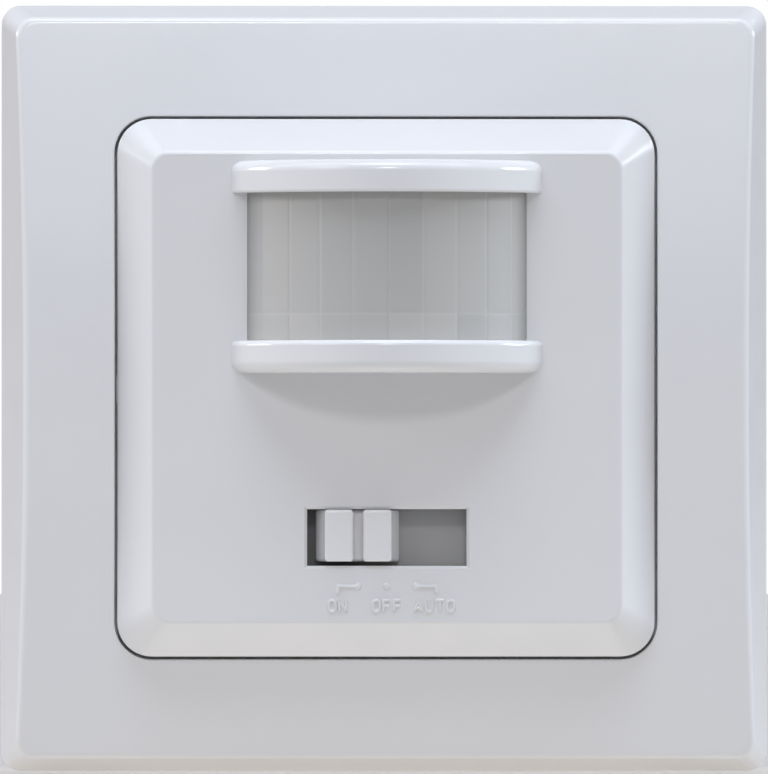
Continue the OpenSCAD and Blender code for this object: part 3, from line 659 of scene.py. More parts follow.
def tint(colour, factor):
    return tuple(channel * factor for channel in colour)


def mottled(shader, colour, pattern, amount):
    """A colour that gets a little darker and lighter with a pattern."""
    share = shader.spread(pattern, 0.0, 1.0)
    return shader.blend(share, tint(colour, 1 - amount), tint(colour, 1 + amount))


def moulded(name, colour, roughness, grain_mm=0.2, grain_depth=0.004, mottle=0.05):
    """Moulded plastic: faint flow marks in its colour, uneven gloss and a fine skin."""
    shader = Shader(name, colour, roughness)
    flow = shader.noise(60.0, 3.0, shader.stretched((1.0, 1.0, 2.5)))
    shader.drive("Base Color", mottled(shader, colour, flow, mottle))
    gloss = shader.noise(240.0, 4.0)
    shader.drive("Roughness", shader.spread(gloss, roughness - 0.04, roughness + 0.04))
    shader.bump(shader.noise(1 / (grain_mm * MM), 2.0), grain_depth)
    return shader


def metal(name, colour, roughness, streaks=(1.0, 0.2, 1.0), depth=0.003, spots=0.06):
    """Plated or rolled metal with streaks, dull spots and fine scratches."""
    shader = Shader(name, colour, roughness, 1.0)
    rolled = shader.noise(900.0, 5.0, shader.stretched(streaks))
    cloud = shader.noise(180.0, 4.0)
    shader.drive("Base Color", mottled(shader, colour, cloud, spots))
    shader.drive("Roughness", shader.spread(rolled, roughness - 0.08, roughness + 0.12))
    shader.bump(rolled, depth)
    return shader


def tinned_part(shader, colour, bare):
    """Shows bare tinned metal instead of a colour wherever a share is 1."""
    shader.drive("Base Color", shader.blend(bare, colour, TIN))
    shader.drive("Metallic", bare)


# Materials


def glossy_white(name, tone, roughness):
    """Smooth plastic in a white or grey tone, hardly mottled."""
    shader = moulded(name, (tone, tone, tone), roughness, grain_mm=0.6, grain_depth=0.0005, mottle=0.006)
    shader.drive("IOR", 1.5)
    return shader.material


def white_plastic():
    return glossy_white("white_abs", 0.73, 0.17)


def knob_painted_light_plastic():
    """The knob's plastic, a shade whiter than the cover's: painted light that makes up for the lower bar's
    shade on the knob.
    """
    # Painted light: the knob is made whiter than the cover to offset the shade that the lower bar casts on
    # it.
    return glossy_white("knob_abs_painted_light", 0.78, 0.2)


def lens_lines(shader, within, index, height):
    """Share of the pale lines: uneven seams between segments, and one line between the rows."""
    seam = shader.spread(shader.math("PINGPONG", within, 0.5), 0.6, 0.0, 0.012, 0.05)
    uneven_seam = shader.math("MULTIPLY", seam, shader.toss(index, 7.0))
    row_line = shader.spread(shader.apart(height, LOWER_ROW_Z), 0.35, 0.0, 0.03, 0.14)
    return shader.math("MAXIMUM", uneven_seam, row_line)


def lens_rings(shader, within, upper, across, height):
    """Height of the fine rings, round each upper segment's middle or the lower row's."""
    in_segment = shader.math("MULTIPLY", shader.math("SUBTRACT", within, 0.5), SEGMENT_STEP * LENS_R)
    lower_z = shader.math("SUBTRACT", height, LOWER_RINGS_Z)
    upper_z = shader.math("SUBTRACT", height, UPPER_RINGS_Z)
    aside = shader.either(upper, across, in_segment)
    return shader.math("PINGPONG", shader.length(aside, shader.either(upper, lower_z, upper_z)), RING_STEP)


def lens_plastic():
    """Milky lens: each segment has a tone of its own, faint seams, and rings that show through. It is
    painted lighter towards the bottom, so that its top looks shaded under the upper bar, and painted darker
    at both sides as painted shade.
    """
    milky, dim, light = (0.42, 0.416, 0.398), (0.373, 0.378, 0.364), (0.465, 0.453, 0.427)
    shader = Shader("milky_lens", milky, 0.38)
    across, depth, height = shader.axes()
    angle = shader.math("ARCTAN2", across, shader.math("SUBTRACT", LENS_AXIS_Y, depth))
    place = shader.math("DIVIDE", angle, SEGMENT_STEP)
    index = shader.math("FLOOR", place)
    within = shader.math("SUBTRACT", place, index)
    upper = shader.math("GREATER_THAN", height, LOWER_ROW_Z)
    # Painted light and shade: the lens is made lighter towards the bottom, which leaves its top looking
    # shaded under the upper bar.
    painted_light_below = shader.spread(height, 0.5, 0.0, lens_low.z, lens_high.z)
    tone = shader.blend(painted_light_below, shader.blend(shader.toss(index, upper), dim, light), tint(milky, 1.3))
    lined = shader.blend(lens_lines(shader, within, index, height), tone, tint(milky, 1.35))
    rings = lens_rings(shader, within, upper, across, height)
    ringed = shader.blend(shader.spread(rings, 0.0, 0.16, 0.0, RING_STEP), lined, tint(milky, 1.12))
    # Painted shade: both sides of the lens darken where it curves away.
    side = shader.spread(shader.math("ABSOLUTE", angle), 0.0, 0.35, *PAINTED_SHADE_SIDES)
    shader.drive("Base Color", shader.blend(side, ringed, tint(milky, 0.5)))
    shader.drive("Roughness", shader.spread(shader.noise(300.0), 0.32, 0.44))
    shader.bump(rings, 0.02, 0.15)
    return shader.material


def zinc_sheet():
    return metal("zinc_sheet", (0.46, 0.47, 0.48), 0.38, streaks=(1.0, 1.0, 0.06), depth=0.001).material


def screw_metal():
    return metal("screw_metal", (0.62, 0.61, 0.57), 0.3).material


def bright_metal():
    streaks = (1.0, 0.1, 1.0)
    return metal("bright_can", (0.74, 0.74, 0.72), 0.22, streaks, depth=0.002, spots=0.03).material


def brass():
    return metal("brass", (0.75, 0.57, 0.26), 0.28, spots=0.08).material


def solder():
    return metal("solder", TIN, 0.3, streaks=(1.0, 1.0, 1.0), depth=0.01, spots=0.08).material


def grey_plastic():
    grey = (0.5, 0.51, 0.52)
    return moulded("grey_housing", grey, 0.5, grain_mm=0.25, grain_depth=0.008, mottle=0.02).material


def flange_painted_shade():
    """Dust plate in a dull grey that is painted shade for the inside of the slot, and darker still to the
    left of the knob as painted shadow.
    """
    # Both greys are painted shade: the darker one is painted shadow to the left of the knob, the paler one
    # painted shade to its right.
    dark, pale = (0.13, 0.13, 0.13), (0.38, 0.38, 0.375)
    shader = moulded("flange_painted_shade", pale, 0.55, grain_mm=0.3, grain_depth=0.006, mottle=0.03)
    # Share that leaves the painted shadow, across the knob's middle.
    out_of_painted_shadow = shader.spread(shader.axes()[0], 0.0, 1.0, KNOB_X - 1.0, KNOB_X + 1.0)
    shader.drive("Base Color", shader.blend(out_of_painted_shadow, dark, pale))
    return shader.material


def black_plastic():
    return moulded("black_plastic", BLACK_TONE, 0.45, grain_depth=0.006, mottle=0.1).material


def terminal_plastic():
    grey = (0.42, 0.44, 0.45)
    return moulded("terminal_grey", grey, 0.5, grain_mm=0.25, grain_depth=0.006, mottle=0.03).material


def blue_plastic():
    return moulded("blue_plastic", (0.05, 0.16, 0.5), 0.4).material


def ivory_plastic():
    return moulded("ivory_plastic", (0.82, 0.78, 0.66), 0.42, mottle=0.03).material


def yellow_case():
    return moulded("yellow_case", (0.8, 0.5, 0.05), 0.35, grain_mm=0.3, mottle=0.04).material


def relay_case():
    return moulded("relay_case", (0.04, 0.08, 0.28), 0.36, grain_mm=0.3).material


def tan_ceramic():
    return moulded("tan_ceramic", CERAMIC_TONE, 0.5, grain_mm=0.15, grain_depth=0.01, mottle=0.08).material


def phenolic():
    """Brown paper laminate."""
    return moulded("phenolic", (0.3, 0.16, 0.07), 0.5, mottle=0.1).material


def dark_filter():
    """Polished infrared filter with a faint purple cast."""
    purple = (0.035, 0.025, 0.045)
    shader = moulded("dark_filter", purple, 0.12, grain_mm=1.0, grain_depth=0.001, mottle=0.1)
    shader.drive("Coat Weight", 0.6)
    shader.drive("Coat Roughness", 0.05)
    return shader.material


def solder_mask():
    """Green board: the weave of the laminate shows faintly through the mask."""
    green, pale_green = (0.02, 0.16, 0.06), (0.04, 0.22, 0.09)
    shader = Shader("solder_mask", green, 0.3)
    across, depth, height = shader.axes()
    threads = [shader.math("PINGPONG", place, WEAVE_STEP) for place in (across, height)]
    weave = shader.math("MULTIPLY", *threads)
    cloud = shader.noise(120.0, 3.0)
    coloured = shader.blend(shader.spread(cloud, 0.0, 1.0), tint(green, 0.9), tint(green, 1.12))
    woven = shader.spread(weave, 0.0, 0.35, 0.0, WEAVE_STEP**2)
    shader.drive("Base Color", shader.blend(woven, coloured, pale_green))
    shader.drive("Roughness", shader.spread(cloud, 0.26, 0.36))
    shader.bump(weave, 0.004, 0.4)
    return shader.material


def masked_copper():
    """Track under the green mask."""
    return moulded("masked_copper", (0.04, 0.27, 0.1), 0.3, grain_mm=0.3, mottle=0.06).material


def print_ink():
    return moulded("print_ink", (0.8, 0.8, 0.76), 0.55, grain_mm=0.1, grain_depth=0.006).material


def cell_track():
    """Red-brown light-sensitive track."""
    return moulded("cell_track", (0.3, 0.07, 0.03), 0.35, grain_mm=0.1, mottle=0.1).material


def sleeve(middle, radius, top_y):
    """Capacitor: dark sleeve with a pale stripe, and a bare aluminium top."""
    navy, pale = (0.02, 0.03, 0.1), (0.6, 0.62, 0.66)
    shader = Shader("sleeve", navy, 0.3)
    across, depth, height = shader.axes()
    side_x = shader.math("SUBTRACT", shader.math("ABSOLUTE", across), middle[0])
    side_z = shader.math("SUBTRACT", height, middle[1])
    angle = shader.math("ARCTAN2", side_z, side_x)
    stripe = shader.math("LESS_THAN", shader.apart(angle, STRIPE_TURN), STRIPE_HALF)
    in_top = shader.math("LESS_THAN", shader.length(side_x, side_z), BARE_TOP_SHARE * radius)
    at_top = shader.math("LESS_THAN", depth, top_y + BARE_TOP_DEPTH)
    tinned_part(shader, shader.blend(stripe, navy, pale), shader.math("MULTIPLY", in_top, at_top))
    shader.drive("Roughness", shader.spread(shader.noise(500.0), 0.25, 0.36))
    shader.bump(shader.noise(3000.0), 0.003)
    return shader.material


def chip_and_legs():
    """Control chip: black body, with tinned legs on both long sides."""
    shader = moulded("chip_body", BLACK_TONE, 0.45, grain_depth=0.006, mottle=0.1)
    aside = shader.apart(shader.axes()[2], CHIP_Z)
    tinned_part(shader, BLACK_TONE, shader.math("GREATER_THAN", aside, CHIP_BODY_HALF + SKIN))
    return shader.material


def cell_and_leads():
    """Light sensor: coated ceramic in front, with bare leads behind it."""
    shader = moulded("cell_ceramic", CERAMIC_TONE, 0.5, grain_mm=0.15, grain_depth=0.01, mottle=0.08)
    bare = shader.math("GREATER_THAN", shader.axes()[1], CELL_FACE_Y + CELL_T + SKIN)
    tinned_part(shader, CERAMIC_TONE, bare)
    return shader.material


def chip_ends():
    """Chip resistors: black top and tinned ends, at an even pitch along X."""
    black = (0.02, 0.02, 0.022)
    shader = Shader("chip_resistor", black, 0.4)
    from_pitch = shader.math("SUBTRACT", shader.axes()[0], SMD_PITCH / 2)
    off_centre = shader.math("PINGPONG", from_pitch, SMD_PITCH / 2)
    tinned_part(shader, black, shader.math("GREATER_THAN", off_centre, SMD_W / 2 - SMD_END))
    shader.drive("Roughness", shader.spread(shader.noise(900.0), 0.3, 0.42))
    shader.bump(shader.noise(4000.0), 0.004)
    return shader.material


# Materials that several modelled pieces share
WHITE = white_plastic()
GREY = grey_plastic()
SOLDER = solder()
INK = print_ink()


# Outer frame


def side_meets_crown(step, half, radius, inset=0.0):
    """How far in, and at which level, a drafted side meets the crowned face at a step."""
    level = CROWN_Y + inset
    for _ in range(MEETING_ROUNDS):
        x, z = on_square(step, half + level * DRAFT, radius)
        level = crown(z, inset)
    return -level * DRAFT, level


def frame_outside(step):
    """Section from the outer foot up the side and over the face to the opening."""
    points = [at(step, FRAME_HALF, FRAME_CORNER_R, 0.0)]
    inward, level = side_meets_crown(step, FRAME_HALF, FRAME_CORNER_R)
    face_next = on_crown(step, FRAME_HALF - inward - 1.0, FRAME_CORNER_R)
    arc = fillet((inward, level), (-DRAFT, 1.0), (1.0, face_next[1] - level), FRAME_FILLET_R)
    for inset, y in arc:
        points.append(at(step, FRAME_HALF - inset, FRAME_CORNER_R, y))
    start = FRAME_HALF - arc[-1][0]
    for i in range(1, FACE_RINGS + 1):
        share = i / FACE_RINGS
        half = between(start, OPENING_HALF + OPENING_FILLET_R, share)
        points.append(on_crown(step, half, between(FRAME_CORNER_R, OPENING_R + OPENING_FILLET_R, share)))
    return points


def frame_opening(step, edge_y):
    """Section of the opening: its rounded edge, the bead and the collar's foot."""
    section = [(out, edge_y + down) for out, down in quarter(OPENING_FILLET_R, OPENING_STEPS)[1:]]
    section += [
        (0.0, BEAD_FRONT_Y),
        (-BEAD_RISE, BEAD_FRONT_Y + BEAD_RISE),
        (-BEAD_RISE, BEAD_BACK_Y - BEAD_RISE),
        (0.0, BEAD_BACK_Y),
        (0.0, COLLAR_BACK_Y),
        (COLLAR_WALL, COLLAR_BACK_Y),
    ]
    return [at(step, OPENING_HALF + out, OPENING_R + out, y) for out, y in section]


def frame_inside(step):
    """Section behind the face, from the collar to the inner foot."""
    collar_half, collar_r = OPENING_HALF + COLLAR_WALL, OPENING_R + COLLAR_WALL
    inner_half, inner_r = FRAME_HALF - FRAME_WALL, FRAME_CORNER_R / 2
    inward, level = side_meets_crown(step, inner_half, inner_r, FRAME_WALL)
    points = []
    for i in range(INSIDE_RINGS):
        share = i / INSIDE_RINGS
        half = between(collar_half, inner_half - inward, share)
        points.append(on_crown(step, half, between(collar_r, inner_r, share), FRAME_WALL))
    return points + [at(step, inner_half - inward, inner_r, level), at(step, inner_half, inner_r, 0.0)]


def frame_section(step):
    """Closed section of the frame at one step, from the outer foot round to the inner foot."""
    outside = frame_outside(step)
    return outside + frame_opening(step, outside[-1][1]) + frame_inside(step)


def relief_cuts():
    """Room for the heads of the box screws, on the four sides."""
    return quarter_turns(block((-RELIEF_W / 2, RELIEF_Y, RELIEF_IN), (RELIEF_W / 2, CUT_PAST, RELIEF_OUT)))


def frame_tongues():
    """Tongues that plug the collar into the bracket."""
    middle = OPENING_HALF + COLLAR_WALL / 2
    levels = COLLAR_BACK_Y - TONGUE_ROOT, TONGUE_BACK_Y
    return side_blocks(TONGUE_OFFSET, TONGUE_W, *levels, middle - TONGUE_T / 2, middle + TONGUE_T / 2)


def outer_frame():
    sections = [frame_section(step) for step in STEPS]
    obj = raw_object("frame_moulding", loft([list(ring) for ring in zip(*sections)], closed=True))
    combine(obj, "DIFFERENCE", *relief_cuts())
    combine(obj, "UNION", *frame_tongues())
    dress(obj, "frame", WHITE, ["outer_frame"])


# Front cover


def bevel_corner_r(half):
    """Corner radius of the cover's outside, which grows from the face to the rim."""
    share = max(0.0, (half - FACE_HALF) / (COVER_HALF - FACE_HALF))
    return between(FACE_R, RIM_R, share) - max(0.0, FACE_HALF - half) / 2


def cover_shell():
    """Closed shell of the cover: its outside from the face back, then its inside to the face."""
    face_edge = fillet((FACE_HALF, FACE_Y), (1, 1), (-1, 0), FACE_FILLET_R)
    rim_edge = fillet((COVER_HALF, RIM_Y), (-1, -1), (0, 1), RIM_FILLET_R)
    inner_half, inner_r = COVER_HALF - SKIRT_WALL, RIM_R - SKIRT_WALL
    edges = [(half, bevel_corner_r(half), y) for half, y in face_edge[::-1] + rim_edge]
    edges += [
        (COVER_HALF, RIM_R, SKIRT_BACK_Y),
        (inner_half, inner_r, SKIRT_BACK_Y),
        (inner_half, inner_r, RIM_IN_Y),
        (FACE_IN_HALF, FACE_IN_R, FACE_IN_Y),
    ]
    return loft([[at(step, *edge) for step in STEPS] for edge in edges])


def lens_point(radius, turn, z):
    """A point at a distance and a turn from the lens's upright axis."""
    return radius * sin(turn), LENS_AXIS_Y - radius * cos(turn), z


def lens_arc(radius, y, z, way=1):
    """An arc about the lens's axis, which starts and ends at a level."""
    half_turn = way * acos((LENS_AXIS_Y - y) / radius)
    return [lens_point(radius, half_turn * (2 * i / ARC_STEPS - 1), z) for i in range(ARC_STEPS + 1)]


def lens_bar(inner_z, outer_z, edge_r):
    """One bar, well rounded along the edge away from the lens and less along the other."""
    away = 1 if outer_z > inner_z else -1
    section = [(inset, inner_z + away * aside) for inset, aside in quarter(edge_r, BAR_STEPS)]
    section += [(inset, outer_z - away * aside) for aside, inset in quarter(BAR_FILLET_R, BAR_STEPS)]
    return loft([lens_arc(BAR_R - inset, FACE_IN_Y, z) for inset, z in section])


def lens_bars():
    half_h = LENS_H / 2
    upper = lens_bar(LENS_Z + half_h, LENS_Z + half_h + BAR_H, BAR_EDGE_R)
    lower = lens_bar(LENS_Z - half_h, LENS_Z - half_h - BAR_H, BAR_SILL_R)
    return upper, lower


def lens_window():
    outline = oblong_at(0.0, LENS_Z, LENS_HALF + LENS_ROOM, LENS_H / 2)
    return prism(outline, FACE_Y - CUT_PAST, FACE_IN_Y + CUT_PAST)


def lens_groove():
    """Curved groove in both bars that takes the lens's edges."""
    half_z = LENS_H / 2 + GROOVE_DEPTH
    outer_r, inner_r = LENS_R + GROOVE_ROOM, LENS_R - LENS_T - GROOVE_ROOM
    levels = (LENS_Z - half_z, LENS_Z + half_z)
    return loft([lens_arc(outer_r, FACE_Y, z) + lens_arc(inner_r, FACE_Y, z, -1) for z in levels])


def lens_pegs():
    """Pegs that hold the lens retainer, and their flattened heads."""
    pegs, heads = [], []
    for side_x in (-1, 1):
        for side_z in (-1, 1):
            x, z = side_x * PEG_X, LENS_Z + side_z * PEG_Z
            pegs.append(rod(x, z, PEG_R, FACE_IN_Y - ROOT, PEG_BACK_Y + LAP))
            heads.append(rod(x, z, PEG_HEAD_R, PEG_BACK_Y, PEG_BACK_Y + PEG_HEAD_T))
    return pegs, heads


def cover_clips():
    """Clips inside the skirt that hold the cover to the housing."""
    inner = COVER_HALF - SKIRT_WALL
    return side_blocks(CLIP_OFFSET, CLIP_W, RIM_IN_Y, SKIRT_BACK_Y, inner - CLIP_T, inner + LAP)


def slot_boss():
    """Thick rim behind the face, round the knob's slot."""
    outline = oblong_at(0.0, SLOT_Z, SLOT_W / 2 + SLOT_LAP, SLOT_H / 2 + SLOT_LAP)
    return prism(outline, FACE_IN_Y - ROOT, SLOT_BACK_Y)


def slot_cut():
    """The knob's slot, with its front edge broken by a small chamfer."""
    levels = [
        (FACE_Y - CUT_PAST, SLOT_CHAMFER + CUT_PAST),
        (FACE_Y, SLOT_CHAMFER),
        (FACE_Y + SLOT_CHAMFER, 0.0),
        (SLOT_BACK_Y + CUT_PAST, 0.0),
    ]
    half_x, half_z = SLOT_W / 2, SLOT_H / 2
    return loft([at_level(oblong_at(0.0, SLOT_Z, half_x + out, half_z + out), y) for y, out in levels])


def knob_rails():
    """Walls and lips behind the slot that carry the knob's flange."""
    half = SLOT_W / 2 + SLOT_LAP
    near = SLOT_H / 2 + SLOT_LAP + RAIL_GAP
    walls, lips = [], []
    for side in (-1, 1):
        low, high = sorted((SLOT_Z + side * near, SLOT_Z + side * (near + RAIL_T)))
        walls.append(block((-half, FACE_IN_Y - ROOT, low), (half, RAIL_Y + RAIL_ROOT, high)))
        low, high = sorted((SLOT_Z + side * (near - RAIL_LAP), SLOT_Z + side * (near + RAIL_T)))
        lips.append(block((-half, RAIL_Y, low), (half, RAIL_Y + RAIL_T, high)))
    return walls, lips


def front_cover():
    obj = raw_object("cover_moulding", cover_shell())
    pegs, heads = lens_pegs()
    walls, lips = knob_rails()
    combine(obj, "UNION", *lens_bars())
    combine(obj, "UNION", slot_boss(), *pegs, *cover_clips(), *walls)
    combine(obj, "UNION", *heads, *lips)
    combine(obj, "DIFFERENCE", lens_window(), slot_cut(), *relief_cuts())
    combine(obj, "DIFFERENCE", lens_groove())
    dress(obj, "cover", WHITE, ["front_cover"])


# Marks below the knob


LETTERS = {
    "O": [[(0.0, 0.28), (0.0, 0.72), (0.1, 0.93), (0.31, 1.0), (0.52, 0.93), (0.62, 0.72),
           (0.62, 0.28), (0.52, 0.07), (0.31, 0.0), (0.1, 0.07), (0.0, 0.28)]],
    "N": [[(0.0, 0.0), (0.0, 1.0)], [(0.0, 1.0), (0.62, 0.0)], [(0.62, 0.0), (0.62, 1.0)]],
    "F": [[(0.0, 0.0), (0.0, 1.0), (0.56, 1.0)], [(0.0, 0.52), (0.48, 0.52)]],
    "A": [[(0.0, 0.0), (0.31, 1.0)], [(0.31, 1.0), (0.62, 0.0)], [(0.12, 0.34), (0.5, 0.34)]],
    "U": [[(0.0, 1.0), (0.0, 0.28), (0.1, 0.07), (0.31, 0.0), (0.52, 0.07), (0.62, 0.28), (0.62, 1.0)]],
    "T": [[(0.0, 1.0), (0.62, 1.0)], [(0.31, 1.0), (0.31, 0.0)]],
    "1": [[(0.12, 0.8), (0.38, 1.0), (0.38, 0.0)]],
    "2": [[(0.0, 0.78), (0.1, 0.94), (0.31, 1.0), (0.52, 0.94), (0.6, 0.72), (0.5, 0.5), (0.0, 0.0)],
          [(0.0, 0.0), (0.62, 0.0)]],
    "3": [[(0.0, 0.92), (0.25, 1.0), (0.5, 0.94), (0.58, 0.76), (0.5, 0.58), (0.25, 0.52)],
          [(0.25, 0.52), (0.52, 0.44), (0.62, 0.26), (0.52, 0.07), (0.25, 0.0), (0.0, 0.09)]],
}


def word_strokes(word, middle):
    """Strokes of a word, centred at a place along X."""
    advance = (LETTER_W + LETTER_GAP) * LETTER_H
    start = middle - (len(word) * advance - LETTER_GAP * LETTER_H) / 2
    strokes = []
    for i, letter in enumerate(word):
        left = start + i * advance
        for points in LETTERS[letter]:
            strokes.append([(left + x * LETTER_H, LETTER_Z + z * LETTER_H) for x, z in points])
    return strokes


def position_marks():
    """Raised words and pointers for the knob's three positions."""
    strokes = []
    for word, middle in WORD_PLACES.items():
        strokes += word_strokes(word, middle)
    for side in (-1, 1):
        out_x = side * MARK_OUT
        strokes.append([(side * MARK_STEP, MARK_Z), (out_x, MARK_Z), (out_x, MARK_END_Z)])
    root_y, rise = FACE_Y + STROKE_ROOT, STROKE_RISE + STROKE_ROOT
    ridges = [ridge(points, STROKE_W, root_y, rise) for points in strokes]
    dress(raw_object("position_marks", *ridges), "cover", WHITE, sharp_deg=50.0)


def position_dots():
    """Domed dots that stand for the knob's three positions."""
    domes = []
    for i in (-1, 0, 1):
        x = i * MARK_STEP
        rings = [at_level(circle(x, MARK_Z, DOT_R, DOT_STEPS), FACE_Y + DOT_ROOT)]
        for k in range(DOME_RINGS):
            turn = radians(90 * k / DOME_RINGS)
            outline = circle(x, MARK_Z, DOT_R * cos(turn), DOT_STEPS)
            rings.append(at_level(outline, FACE_Y - DOT_RISE * sin(turn)))
        domes.append(loft(rings))
    dress(raw_object("position_dots", *domes), "cover", WHITE, sharp_deg=60.0)


# Lens


def seam_depth(turn, z):
    """Depth of the fine seams between the lens's segments and rows."""
    nearest = round(turn / SEGMENT_STEP)
    seam = abs(turn - nearest * SEGMENT_STEP) * LENS_R / SEAM_HALF
    row_seam = abs(z - LOWER_ROW_Z) / SEAM_HALF
    return SEAM_DEPTH * max(0.0, 1 - seam, ROW_SEAM_SHARE * (1 - row_seam))


def lens_sheet():
    """The curved sheet, with its seams moulded into the outside."""
    half_turn = acos((LENS_AXIS_Y - FACE_Y) / LENS_R)
    turns = [half_turn * (2 * column / LENS_COLUMNS - 1) for column in range(LENS_COLUMNS + 1)]
    rings = []
    for row in range(LENS_ROWS + 1):
        z = lens_low.z + (lens_high.z - lens_low.z) * row / LENS_ROWS
        outer = [lens_point(LENS_R - seam_depth(turn, z), turn, z) for turn in turns]
        inner = [lens_point(LENS_R - LENS_T, turn, z) for turn in turns]
        rings.append(outer + inner[::-1])
    return loft(rings)


def lens_legs():
    """Legs through the window and flanges behind the face, on both sides."""
    leg_in = sqrt((LENS_R - LENS_T) ** 2 - (LENS_AXIS_Y - FACE_Y) ** 2)
    flange_out, flange_back = LENS_HALF + LENS_FLANGE, LENS_FLANGE_Y + LENS_T
    section = [
        (leg_in, FACE_Y - LENS_LEG_RISE), (LENS_HALF - LENS_LEG_STEP, FACE_Y - LENS_LEG_RISE),
        (LENS_HALF, FACE_Y), (LENS_HALF, LENS_FLANGE_Y),
        (flange_out, LENS_FLANGE_Y), (flange_out, flange_back), (leg_in, flange_back),
    ]
    sides = [[(side * x, y) for x, y in section] for side in (-1, 1)]
    return [upright(outline, LENS_Z, LENS_H / 2 - LENS_LEG_ROOM) for outline in sides]


def fresnel_lens():
    obj = raw_object("lens_moulding", lens_sheet(), *lens_legs())
    dress(obj, "cover", lens_plastic(), ["fresnel_lens"], sharp_deg=40.0)


# Knob


def knob_body():
    """The knob's two ribs on a sloping foot."""
    half = [
        (KNOB_GROOVE_HALF, KNOB_GROOVE_Y), (KNOB_GROOVE_HALF, knob_low.y), (KNOB_RIBS_HALF, knob_low.y),
        (KNOB_RIBS_HALF, KNOB_SHOULDER_Y), (KNOB_FOOT_HALF, KNOB_FOOT_Y), (KNOB_FOOT_HALF, KNOB_BACK_Y),
    ]
    section = [(-x, y) for x, y in half[::-1]] + half
    return upright([(x + KNOB_X, y) for x, y in section], KNOB_Z, KNOB_H / 2)


def knob_grip():
    obj = raw_object("knob_grip", knob_body())
    round_edges(obj, KNOB_EDGE_R)
    dress(obj, "knob", knob_painted_light_plastic(), ["switch_knob"])


def knob_flange():
    """Dust plate behind the slot, with the socket that takes the switch lever."""
    plate = block((knob_low.x, FLANGE_Y, knob_low.z), (knob_high.x, FLANGE_BACK_Y, knob_high.z))
    obj = raw_object("knob_flange", plate)
    socket = prism(oblong_at(KNOB_X, SLOT_Z, *SOCKET_HALF), FLANGE_BACK_Y - SOCKET_ROOT, knob_high.y)
    combine(obj, "UNION", socket)
    hole = prism(oblong_at(KNOB_X, SLOT_Z, *SOCKET_HOLE_HALF), FLANGE_BACK_Y, knob_high.y + CUT_PAST)
    combine(obj, "DIFFERENCE", hole)
    dress(obj, "knob", flange_painted_shade(), ["switch_knob"])


# Details on the sensor board, seen when the cover is off


def chip_legs():
    """Places of the chip's legs, with the side that each is on."""
    legs = []
    for side in (-1, 1):
        for i in range(CHIP_PINS):
            legs.append(((i - (CHIP_PINS - 1) / 2) * PIN_PITCH, CHIP_Z + side * CHIP_LEG_Z, side))
    return legs


def link_spots():
    """Places of the pins that link the two boards."""
    x = middle_mm("link_pins")[0]
    return [(x, (i - (LINK_PINS - 1) / 2) * PIN_PITCH) for i in range(LINK_PINS)]


def smd_ends(row_z):
    """Places of the tinned ends of the chip resistors in a row."""
    ends = []
    for i in range(SMD_COUNT):
        middle = (i - (SMD_COUNT - 1) / 2) * SMD_PITCH
        ends += [(middle - SMD_PAD_OUT, row_z), (middle + SMD_PAD_OUT, row_z)]
    return ends


def chip_tracks():
    """Tracks from the chip's legs, which lean to the middle, to the resistors' nearest ends."""
    paths = []
    for x, z, side in chip_legs():
        row = smd_ends(SMD_ROWS[0] if side > 0 else SMD_ROWS[1])
        target = min(row, key=lambda end: abs(end[0] - CHIP_LEG_LEAN * x))
        bend = z + side * CHIP_LEG_RUN
        paths.append([(x, z), (x, bend), (target[0], bend + side * abs(target[0] - x)), target])
    return paths


def resistor_tracks():
    """Tracks from the resistors away from the chip, in four lanes."""
    paths = []
    for row_z, side in zip(SMD_ROWS, (1, -1)):
        for i, (x, z) in enumerate(smd_ends(row_z)):
            away = 1 if x > 0 else -1
            lane = i % 4
            reach = LANE_START + LANE_STEP * lane
            end_x = UPPER_END_X + abs(x) / 2 if side > 0 else LOWER_END_X - LOWER_END_STEP * lane
            lane_z = z + side * (reach + TRACK_CORNER)
            corner = [(x, z + side * reach), (x + away * TRACK_CORNER, lane_z)]
            paths.append([(x, z), *corner, (away * end_x, lane_z)])
    return paths


def link_tracks():
    """Tracks from the link's pins up and down the board's side, in three lanes."""
    paths = []
    for i, (x, z) in enumerate(link_spots()):
        side = 1 if z > 0 else -1
        lane = i % 3
        bend = LINK_BEND_X - TRACK_CORNER * lane
        lane_x = bend - TRACK_CORNER
        corner = [(bend, z), (lane_x, z + side * TRACK_CORNER)]
        paths.append([(x, z), *corner, (lane_x, side * (LINK_END_Z + lane))])
    return paths


def board_tracks():
    """Copper tracks under the green mask."""
    paths = chip_tracks() + resistor_tracks() + link_tracks()
    obj = raw_object("board_tracks", *[strip(path, TRACK_W, BOARD_Y, TRACK_RISE) for path in paths])
    dress(obj, "base", masked_copper())


def board_pads():
    """Tinned pads round the chip's legs and the resistors' ends."""
    front_y = BOARD_Y - PAD_RISE
    pads = [rod(x, z, CHIP_PAD_R, front_y, BOARD_Y) for x, z, side in chip_legs()]
    for row_z in SMD_ROWS:
        pads += [prism(oblong_at(x, z, *END_PAD_HALF), front_y, BOARD_Y) for x, z in smd_ends(row_z)]
    dress(raw_object("board_pads", *pads), "base", SOLDER)


def solder_joints():
    """Cones of solder round the pins of the board link."""
    cones = []
    for x, z in link_spots():
        rings = [at_level(circle(x, z, out, CONE_STEPS), BOARD_Y - rise) for out, rise in SOLDER_CONE]
        cones.append(loft(rings))
    dress(raw_object("solder_joints", *cones), "base", SOLDER, sharp_deg=60.0)


